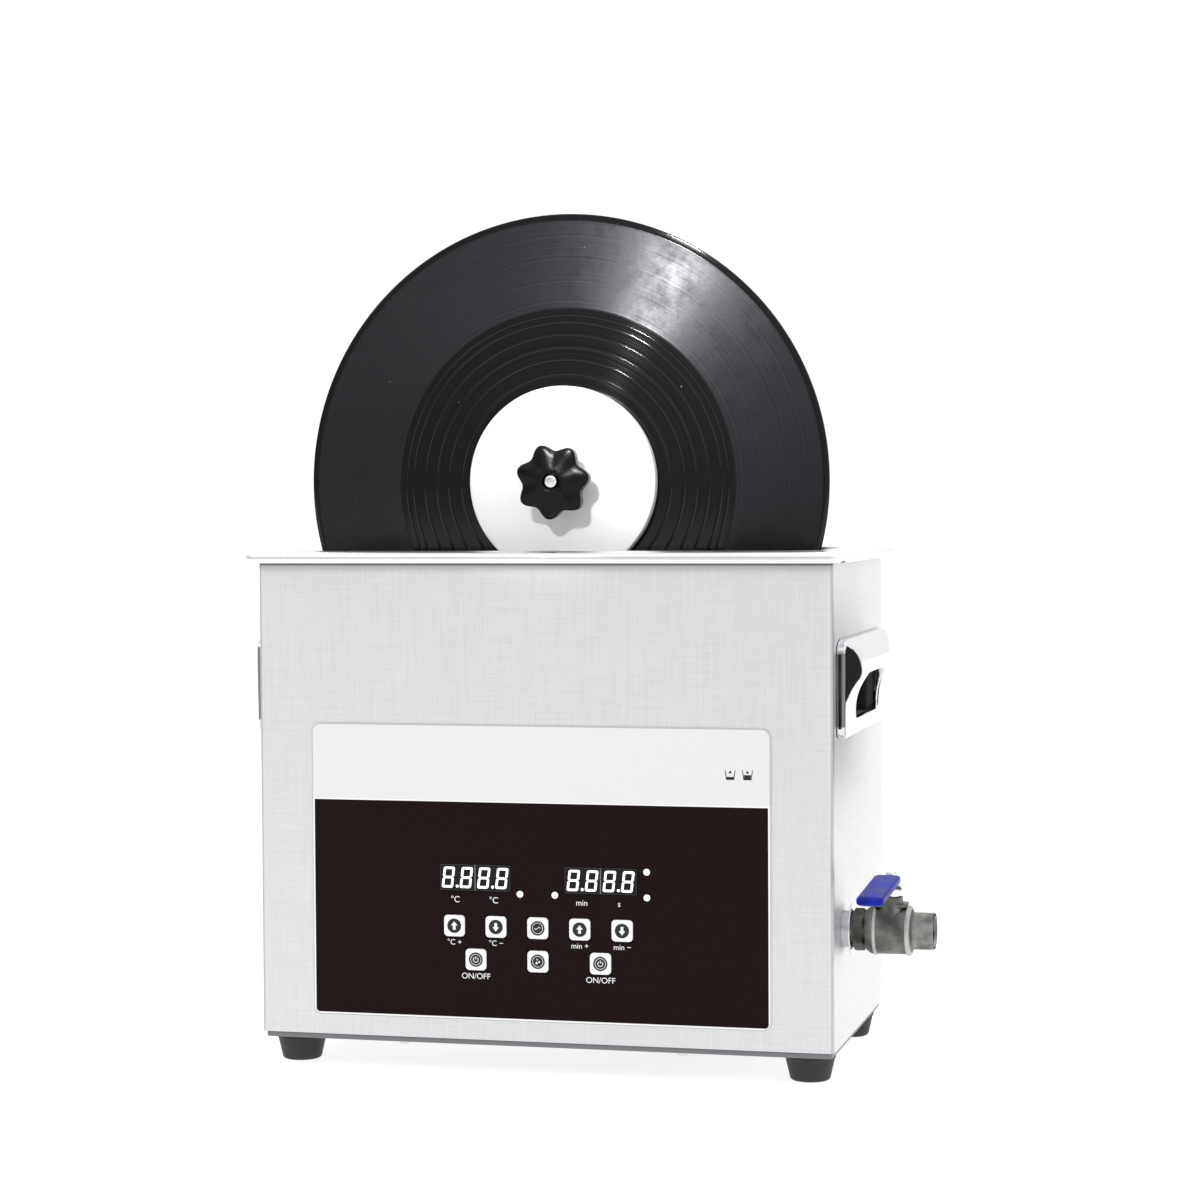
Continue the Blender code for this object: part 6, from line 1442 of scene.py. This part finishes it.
def make_record():
    """Vinyl disc: its face is a flat label ground and an edge bead with the grooves sunk between them,
    plus a smooth raised ring at each track gap, a bell of the distance from the ring."""
    low, high = corners("record")
    edge = (high - low)[X] / 2
    reach = RING_REACH * RING_HALF
    near = [np.linspace(ring - reach, ring + reach, RING_STEPS) for ring in TRACK_RINGS]
    radius = np.concatenate([np.linspace(RECORD_HOLE, edge - RIM_ROUND, RECORD_STEPS), *near])
    radius = np.unique(radius[radius < edge - RIM_CLEAR])
    inner = 1 / (1 + np.exp((radius - LABEL_EDGE) / LABEL_BLEND))
    outer = 1 / (1 + np.exp((BEAD_START - radius) / BEAD_BLEND))
    sink = GROOVE_SINK * (1 - inner) * (1 - outer)
    for ring in TRACK_RINGS:
        sink = sink - RING_HEIGHT * np.exp(-((radius - ring) / RING_HALF) ** 2) * (1 - outer)
    sink = np.maximum(sink, 0.0)
    front = np.column_stack([radius, low[Y] + sink])
    bead = np.linspace(0.0, np.pi, RIM_STEPS)[1:-1]
    half = (high - low)[Y] / 2
    rim = np.column_stack([edge - RIM_ROUND + RIM_ROUND * np.sin(bead),
                           RECORD_CENTRE[Y] - half * np.cos(bead)])
    back = np.column_stack([radius, high[Y] - sink])[::-1]
    outline = np.vstack([front, rim, back])
    record = turned("vinyl_record", outline, RECORD_CENTRE, Y, ring=True, segments=RECORD_SEGMENTS)
    settle(record, "record_spindle", VINYL, "vinyl", "record")


GUARD_HOLE, CLAMP_HOLE = 0.0038, 0.0037
GUARD_EASE = (0.0004, 0.0012, 0.0012, 0.0004)
GUARD_SEGMENTS = 192
SPINDLE_END, SPINDLE_BODY, SPINDLE_NOSE = 0.003, 0.006, 0.0035
SPINDLE_EASE = (0.0, 0.0003, 0.0003, 0.0005, 0.0005, 0.0003, 0.0012, 0.0)


def make_clamp():
    """White discs, washer and spindle."""
    for node, body in (("front_disc", "clamp"), ("rear_disc", "record_spindle")):
        low, high = corners(node)
        outline = eased(sleeve_outline(GUARD_HOLE, (high - low)[X] / 2, low[Y], high[Y]), GUARD_EASE, True)
        name = node.replace("disc", "label_guard")
        guard = turned(name, outline, RECORD_CENTRE, Y, ring=True, segments=GUARD_SEGMENTS)
        settle(guard, body, ACETAL, "white_acetal", node)
    low, high = corners("clamp_washer")
    outline = sleeve_outline(CLAMP_HOLE, (high - low)[X] / 2, low[Y], high[Y])
    washer = turned("clamp_washer_ring", eased(outline, WASHER_EASE, True), RECORD_CENTRE, Y, ring=True)
    settle(washer, "clamp", TURNED, "polished_stainless", "clamp_washer")
    low, high = corners("spindle")
    shoulder = corners("rear_disc")[1][Y] + FIT_GAP
    step = corners("spindle_bush")[0][Y] - FIT_GAP
    outline = [(0.0, high[Y]), (SPINDLE_END, high[Y]), (SPINDLE_END, step), (SPINDLE_BODY, step)]
    outline += [(SPINDLE_BODY, shoulder), (SPINDLE_NOSE, shoulder), (SPINDLE_NOSE, low[Y]), (0.0, low[Y])]
    outline = eased(outline, SPINDLE_EASE)
    spindle = turned("turned_spindle", outline, RECORD_CENTRE, Y, segments=NUT_SEGMENTS)
    settle(spindle, "record_spindle", TURNED, "polished_stainless", "spindle")


KNOB_LOBES = 7
KNOB_LOBE_DEPTH = 0.0020
KNOB_TURN = math.radians(-20)
KNOB_STAR_DEPTH = 0.0115
KNOB_HUB = 0.010
KNOB_BORE = 0.0047
KNOB_FALL = 0.0019
KNOB_EDGE = 0.0019
KNOB_CHAMFER = 0.0006
KNOB_EASE = 0.0009
KNOB_BELLY = 0.0056
KNOB_DRAFT = 0.0003
KNOB_BACK_EASE, KNOB_ROOT_EASE = 0.0016, 0.0012
KNOB_CONE = ((0.0, 0.0066, 0.0), (0.35, 0.0100, 0.35), (0.75, 0.0150, 0.75))
KNOB_SEGMENTS = 224


def make_knob():
    """Star knob: a turned section whose radius swells once for each lobe, the swell fading towards
    the bore; its face falls as a low cone from the middle to its round edge, with a hub behind."""
    low, high = corners("star_knob")
    front, back = low[Y], high[Y]
    star_back = front + KNOB_STAR_DEPTH
    turn = np.linspace(0.0, 2 * np.pi, KNOB_SEGMENTS, endpoint=False)
    wave = np.cos(KNOB_LOBES * (turn - KNOB_TURN))
    mean = (high - low)[X] / 2 - KNOB_LOBE_DEPTH
    section = [(0.0, KNOB_BORE, star_back), (0.0, KNOB_BORE, front + KNOB_CHAMFER)]
    section += [(0.0, KNOB_BORE + KNOB_CHAMFER, front)]
    section += [(swell, radius, front + KNOB_FALL * share) for swell, radius, share in KNOB_CONE]
    section += [(1.0, mean - KNOB_EDGE, front + KNOB_FALL), (1.0, mean, front + KNOB_FALL + KNOB_CHAMFER)]
    section += [(1.0, mean, front + KNOB_BELLY), (1.0, mean - KNOB_DRAFT, star_back - KNOB_BACK_EASE)]
    section += [(0.9, mean - KNOB_BACK_EASE, star_back), (0.2, KNOB_HUB + KNOB_ROOT_EASE, star_back)]
    section += [(0.0, KNOB_HUB, star_back + KNOB_ROOT_EASE), (0.0, KNOB_HUB - KNOB_DRAFT, back)]
    section += [(0.0, KNOB_BORE, back)]
    swell, radius, station = np.array(section).T
    stations = eased(np.column_stack([radius, station, swell]), KNOB_EASE, True)
    radius, station, swell = stations.T
    radius = radius[:, None] + swell[:, None] * KNOB_LOBE_DEPTH * wave
    grid = np.empty((*radius.shape, 3))
    grid[..., X] = RECORD_CENTRE[X] + radius * np.sin(turn)
    grid[..., Y] = station[:, None]
    grid[..., Z] = RECORD_CENTRE[Z] + radius * np.cos(turn)
    settle(surface("lobed_knob", grid, along=True), "knob", GLOSS, "glossy_black_plastic", "star_knob")


# Rack behind the tank
KNURL_COUNT = 40
KNURL_DEPTH = 0.0003
KNURL_STEPS = 6
THUMB_HEAD = 0.008
THUMB_SHANK = 0.0025
THUMB_FRONT_EASE, THUMB_BACK_EASE = 0.0012, 0.0008
RACK_EDGE = 0.0004
BUSH_BORE, BUSH_BODY, BUSH_FLANGE = 0.0033, 0.006, 0.0085
BUSH_FLANGE_LENGTH, BUSH_EASE = 0.0015, 0.0002


def make_thumb_screw(word):
    """Thumb screw: a head whose radius ripples once for each knurl, on a plain shank."""
    low, high = corners("thumb_screw_" + word)
    centre, head = (low + high) / 2, (high - low)[X] / 2
    head_front = high[Y] - THUMB_HEAD
    turn = np.linspace(0.0, 2 * np.pi, KNURL_COUNT * KNURL_STEPS, endpoint=False)
    ripple = KNURL_DEPTH * (np.cos(KNURL_COUNT * turn) - 1)
    section = [(0.0, 0.0, high[Y]), (0.0, head - THUMB_FRONT_EASE, high[Y])]
    section += [(1.0, head, high[Y] - THUMB_FRONT_EASE), (1.0, head, head_front + THUMB_BACK_EASE)]
    section += [(0.0, head - THUMB_BACK_EASE, head_front), (0.0, THUMB_SHANK, head_front)]
    section += [(0.0, THUMB_SHANK, low[Y]), (0.0, 0.0, low[Y])]
    swell, radius, station = np.array(section).T
    radius = radius[:, None] + swell[:, None] * ripple
    grid = np.empty((*radius.shape, 3))
    grid[..., X] = centre[X] + radius * np.cos(turn)
    grid[..., Y] = station[:, None]
    grid[..., Z] = centre[Z] + radius * np.sin(turn)
    screw = surface("knurled_screw_" + word, grid)
    settle(screw, word + "_thumb_screw", GLOSS, "glossy_black_plastic", "thumb_screw_" + word)


def make_rack():
    """Saddle, upright plate, motor cover, bush and thumb screws."""
    for node, finish, slot in (("rack_saddle", STEEL, "brushed_stainless"),
                               ("motor_plate", STEEL, "brushed_stainless"),
                               ("motor_cover", ABS, "black_plastic")):
        settle(dressed(node, RACK_EDGE), "rack", finish, slot, node)
    low, high = corners("spindle_bush")
    step = low[Y] + BUSH_FLANGE_LENGTH
    outline = [(BUSH_BORE, low[Y]), (BUSH_FLANGE, low[Y]), (BUSH_FLANGE, step), (BUSH_BODY, step)]
    outline = eased([*outline, (BUSH_BODY, high[Y]), (BUSH_BORE, high[Y])], BUSH_EASE, True)
    bush = turned("flanged_bush", outline, RECORD_CENTRE, Y, ring=True, segments=NUT_SEGMENTS)
    settle(bush, "rack", BRONZE, "bronze", "spindle_bush")
    for word in ("left", "right"):
        make_thumb_screw(word)


# Rear panel
def make_rear():
    """Fan, mains socket and mains switch, as welded copies with eased edges."""
    for node, body, edge in (("fan_frame", "chassis", 0.0003), ("fan_rotor", "fan_wheel", 0.0),
                             ("power_inlet", "chassis", 0.0004), ("switch_frame", "chassis", 0.0003)):
        settle(dressed(node, edge), body, ABS, "black_plastic", node)
    settle(dressed("switch_rocker", 0.0003), "mains_rocker", GLOSS, "glossy_black_plastic", "switch_rocker")


def finish_inside():
    """Materials of the pieces inside, which keep their CAD meshes."""
    inside = {"transducer_1": ALUMINIUM, "transducer_2": ALUMINIUM, "transducer_3": ALUMINIUM,
              "gear_motor": ALUMINIUM, "heater_pad": SILICONE, "control_board": BOARD,
              "driver_board": BOARD, "valve_ball": BUFFED, "front_seal": RUBBER, "rear_seal": RUBBER}
    for node, finish in inside.items():
        data = frame["nodes"][node].data
        data.materials.clear()
        data.materials.append(finish)


# Stage

def stood(name, data, place, aim):
    """An object for data, stood at a place with its -Z towards a point."""
    stand = bpy.data.objects.new(name, data)
    bpy.context.scene.collection.objects.link(stand)
    way = np.array(aim, float) - np.array(place, float)
    stand.matrix_world = Matrix.Translation(place) @ look(way)
    return stand


def softbox(name, place, aim, size, power):
    """A square soft light at a place, aimed at a point."""
    light = bpy.data.lights.new(name, "AREA")
    light.shape = "RECTANGLE"
    light.size = light.size_y = size
    light.energy = power
    stood(name, light, place, aim)


UPWARD = (0.0, 0.0, 1.0)


def look(way):
    """Turn that points an object's -Z along a way, with its Y upwards."""
    back = -np.asarray(way, float) / np.linalg.norm(way)
    right = np.cross(UPWARD, back)
    right /= np.linalg.norm(right)
    rows = np.column_stack([right, np.cross(back, right), back])
    return Matrix(rows.tolist()).to_4x4()


def card(name, place, aim, size, finish):
    """A flat board of given size, seen only in reflections."""
    mesh = bpy.data.meshes.new(name)
    mesh.from_pydata((SQUARE * (*size, 1.0)).tolist(), [], [[0, 1, 2, 3]])
    mesh.materials.append(finish)
    board = stood(name, mesh, place, aim)
    board.visible_camera = False
    board.visible_shadow = False
    board.visible_diffuse = False


def snoot(name, aim, radius, cone, power):
    """A round soft light behind a snoot: its beam fades from its middle to the edge of its cone."""
    light = bpy.data.lights.new(name, "SPOT")
    light.energy = power
    light.shadow_soft_size = radius
    light.spot_size = math.radians(cone)
    light.spot_blend = 1.0
    stood(name, light, SNOOT_PLACE, aim)


FLOOR_HALF = 25.0
FLOOR_GLOW = 0.86
HORIZON_FRONT, HORIZON_BACK, SKY, ZENITH = 0.38, 1.06, 1.3, 0.92
DIM_WAY = (0.75, 0.66, 0.0)
FRONT_WAY, BACK_WAY = -0.93, 0.1
SKY_START, SKY_FULL = 0.2, 0.7
ZENITH_START, ZENITH_FULL = 0.75, 0.97
BACKDROP = 1.06


def make_floor():
    """Light table: a milky acrylic sheet lit from below, so that little shade lies under the machine."""
    sockets = {"Emission Color": colour("FFFFFF"), "Emission Strength": FLOOR_GLOW}
    material = grained("backlit_milky_acrylic", "8C8C8C", grain=0.02, rough=(0.57, 0.63), **sockets)
    mesh = bpy.data.meshes.new("studio_floor")
    mesh.from_pydata((SQUARE * 2 * FLOOR_HALF).tolist(), [], [[0, 1, 2, 3]])
    mesh.materials.append(material)
    floor = bpy.data.objects.new("studio_floor", mesh)
    bpy.context.scene.collection.objects.link(floor)


def make_surround():
    """White surround: dimmer towards the horizon in front and to the left, brightest halfway up and a
    little dimmer overhead. Seen directly it is an even white backdrop."""
    world = bpy.data.worlds.new("white_surround")
    world.use_nodes = True
    tree = world.node_tree
    tree.nodes.clear()
    way = add(tree, "TexCoord", {}).outputs["Generated"]
    away = vector(tree, "DOT_PRODUCT", way, DIM_WAY, "Value")
    horizon = ranged(tree, away, FRONT_WAY, BACK_WAY, HORIZON_FRONT, HORIZON_BACK)
    up = along(tree, way, "Z")
    high = ranged(tree, up, SKY_START, SKY_FULL, 0.0, 1.0, True)
    strength = between(tree, high, horizon, SKY)
    overhead = ranged(tree, up, ZENITH_START, ZENITH_FULL, 0.0, 1.0, True)
    strength = between(tree, overhead, strength, ZENITH)
    direct = add(tree, "LightPath", {}).outputs["Is Camera Ray"]
    strength = between(tree, direct, strength, BACKDROP)
    ground = add(tree, "Background", {"Color": (1.0, 1.0, 1.0, 1.0), "Strength": strength})
    add(tree, "OutputWorld", {"Surface": ground.outputs[0]})
    bpy.context.scene.world = world


# Lamps and flags: place, aim, size and power
KEY_SOFTBOX = ((-1.5, -1.6, 1.5), (0.0, 0.0, 0.25), 1.5, 6.0)
TOP_SOFTBOX = ((0.3, 0.9, 2.3), (0.0, 0.0, 0.1), 1.6, 8.0)
SNOOT_PLACE = (-0.053, -1.424, 0.987)
STREAK_PLACE = (0.040, -0.032, 0.436)
STREAK_RADIUS, STREAK_CONE, STREAK_POWER = 0.05, 9.6, 262.0
KNOB_RADIUS, KNOB_CONE_ANGLE, KNOB_POWER = 0.06, 1.7, 420.0
END_FLAG = ((-0.10, -1.6, 0.105), (0.147, -0.08, 0.21), (0.25, 0.2))
RAMP_FLAG = ((0.236, 0.005, 0.20), (0.147, -0.06, 0.21), (0.13, 0.10))


def make_stage():
    """Floor, surround, soft lights and the black flags that dark reflections come from."""
    make_floor()
    make_surround()
    softbox("key_softbox", *KEY_SOFTBOX)
    softbox("top_softbox", *TOP_SOFTBOX)
    snoot("record_snoot", STREAK_PLACE, STREAK_RADIUS, STREAK_CONE, STREAK_POWER)
    snoot("knob_snoot", tuple(middle("star_knob")), KNOB_RADIUS, KNOB_CONE_ANGLE, KNOB_POWER)
    dark, *_ = start_finish("black_flag", "1A1A1C", 0.8)
    card("handle_end_flag", *END_FLAG, dark)
    card("handle_ramp_flag", *RAMP_FLAG, dark)


def make_camera():
    """The photograph's camera: turned left by its yaw, tipped down by its pitch, then rolled."""
    data = bpy.data.cameras.new("photo_camera")
    data.sensor_width = SENSOR_MM
    data.lens = CAMERA_LENS_MM
    data.clip_start, data.clip_end = CAMERA_CLIP
    camera = bpy.data.objects.new("photo_camera", data)
    bpy.context.scene.collection.objects.link(camera)
    yaw, pitch, roll = CAMERA_YAW, CAMERA_PITCH, CAMERA_ROLL
    level = math.cos(pitch)
    ahead = np.array([-math.sin(yaw) * level, math.cos(yaw) * level, -math.sin(pitch)])
    right = np.array([math.cos(yaw), math.sin(yaw), 0.0])
    up = np.cross(right, ahead)
    rolled_right = right * math.cos(roll) + up * math.sin(roll)
    rolled_up = up * math.cos(roll) - right * math.sin(roll)
    turn = Matrix(np.column_stack([rolled_right, rolled_up, -ahead]).tolist()).to_4x4()
    camera.matrix_world = Matrix.Translation(CAMERA_PLACE) @ turn
    bpy.context.scene.camera = camera
    bpy.context.scene.view_settings.view_transform = "Standard"


def make_machine():
    """Every piece of the machine."""
    make_shell()
    make_tank()
    make_feet()
    make_base_screws()
    make_film()
    for word in KEY_ICONS:
        make_key(word)
    for word in ("left", "right"):
        make_display(word)
    make_prints()
    make_handle("left", -1)
    make_handle("right", 1)
    make_pipe()
    make_valve_shell()
    make_lever()
    make_record()
    make_clamp()
    make_knob()
    make_rack()
    make_rear()
    finish_inside()


make_camera()
make_machine()
make_stage()
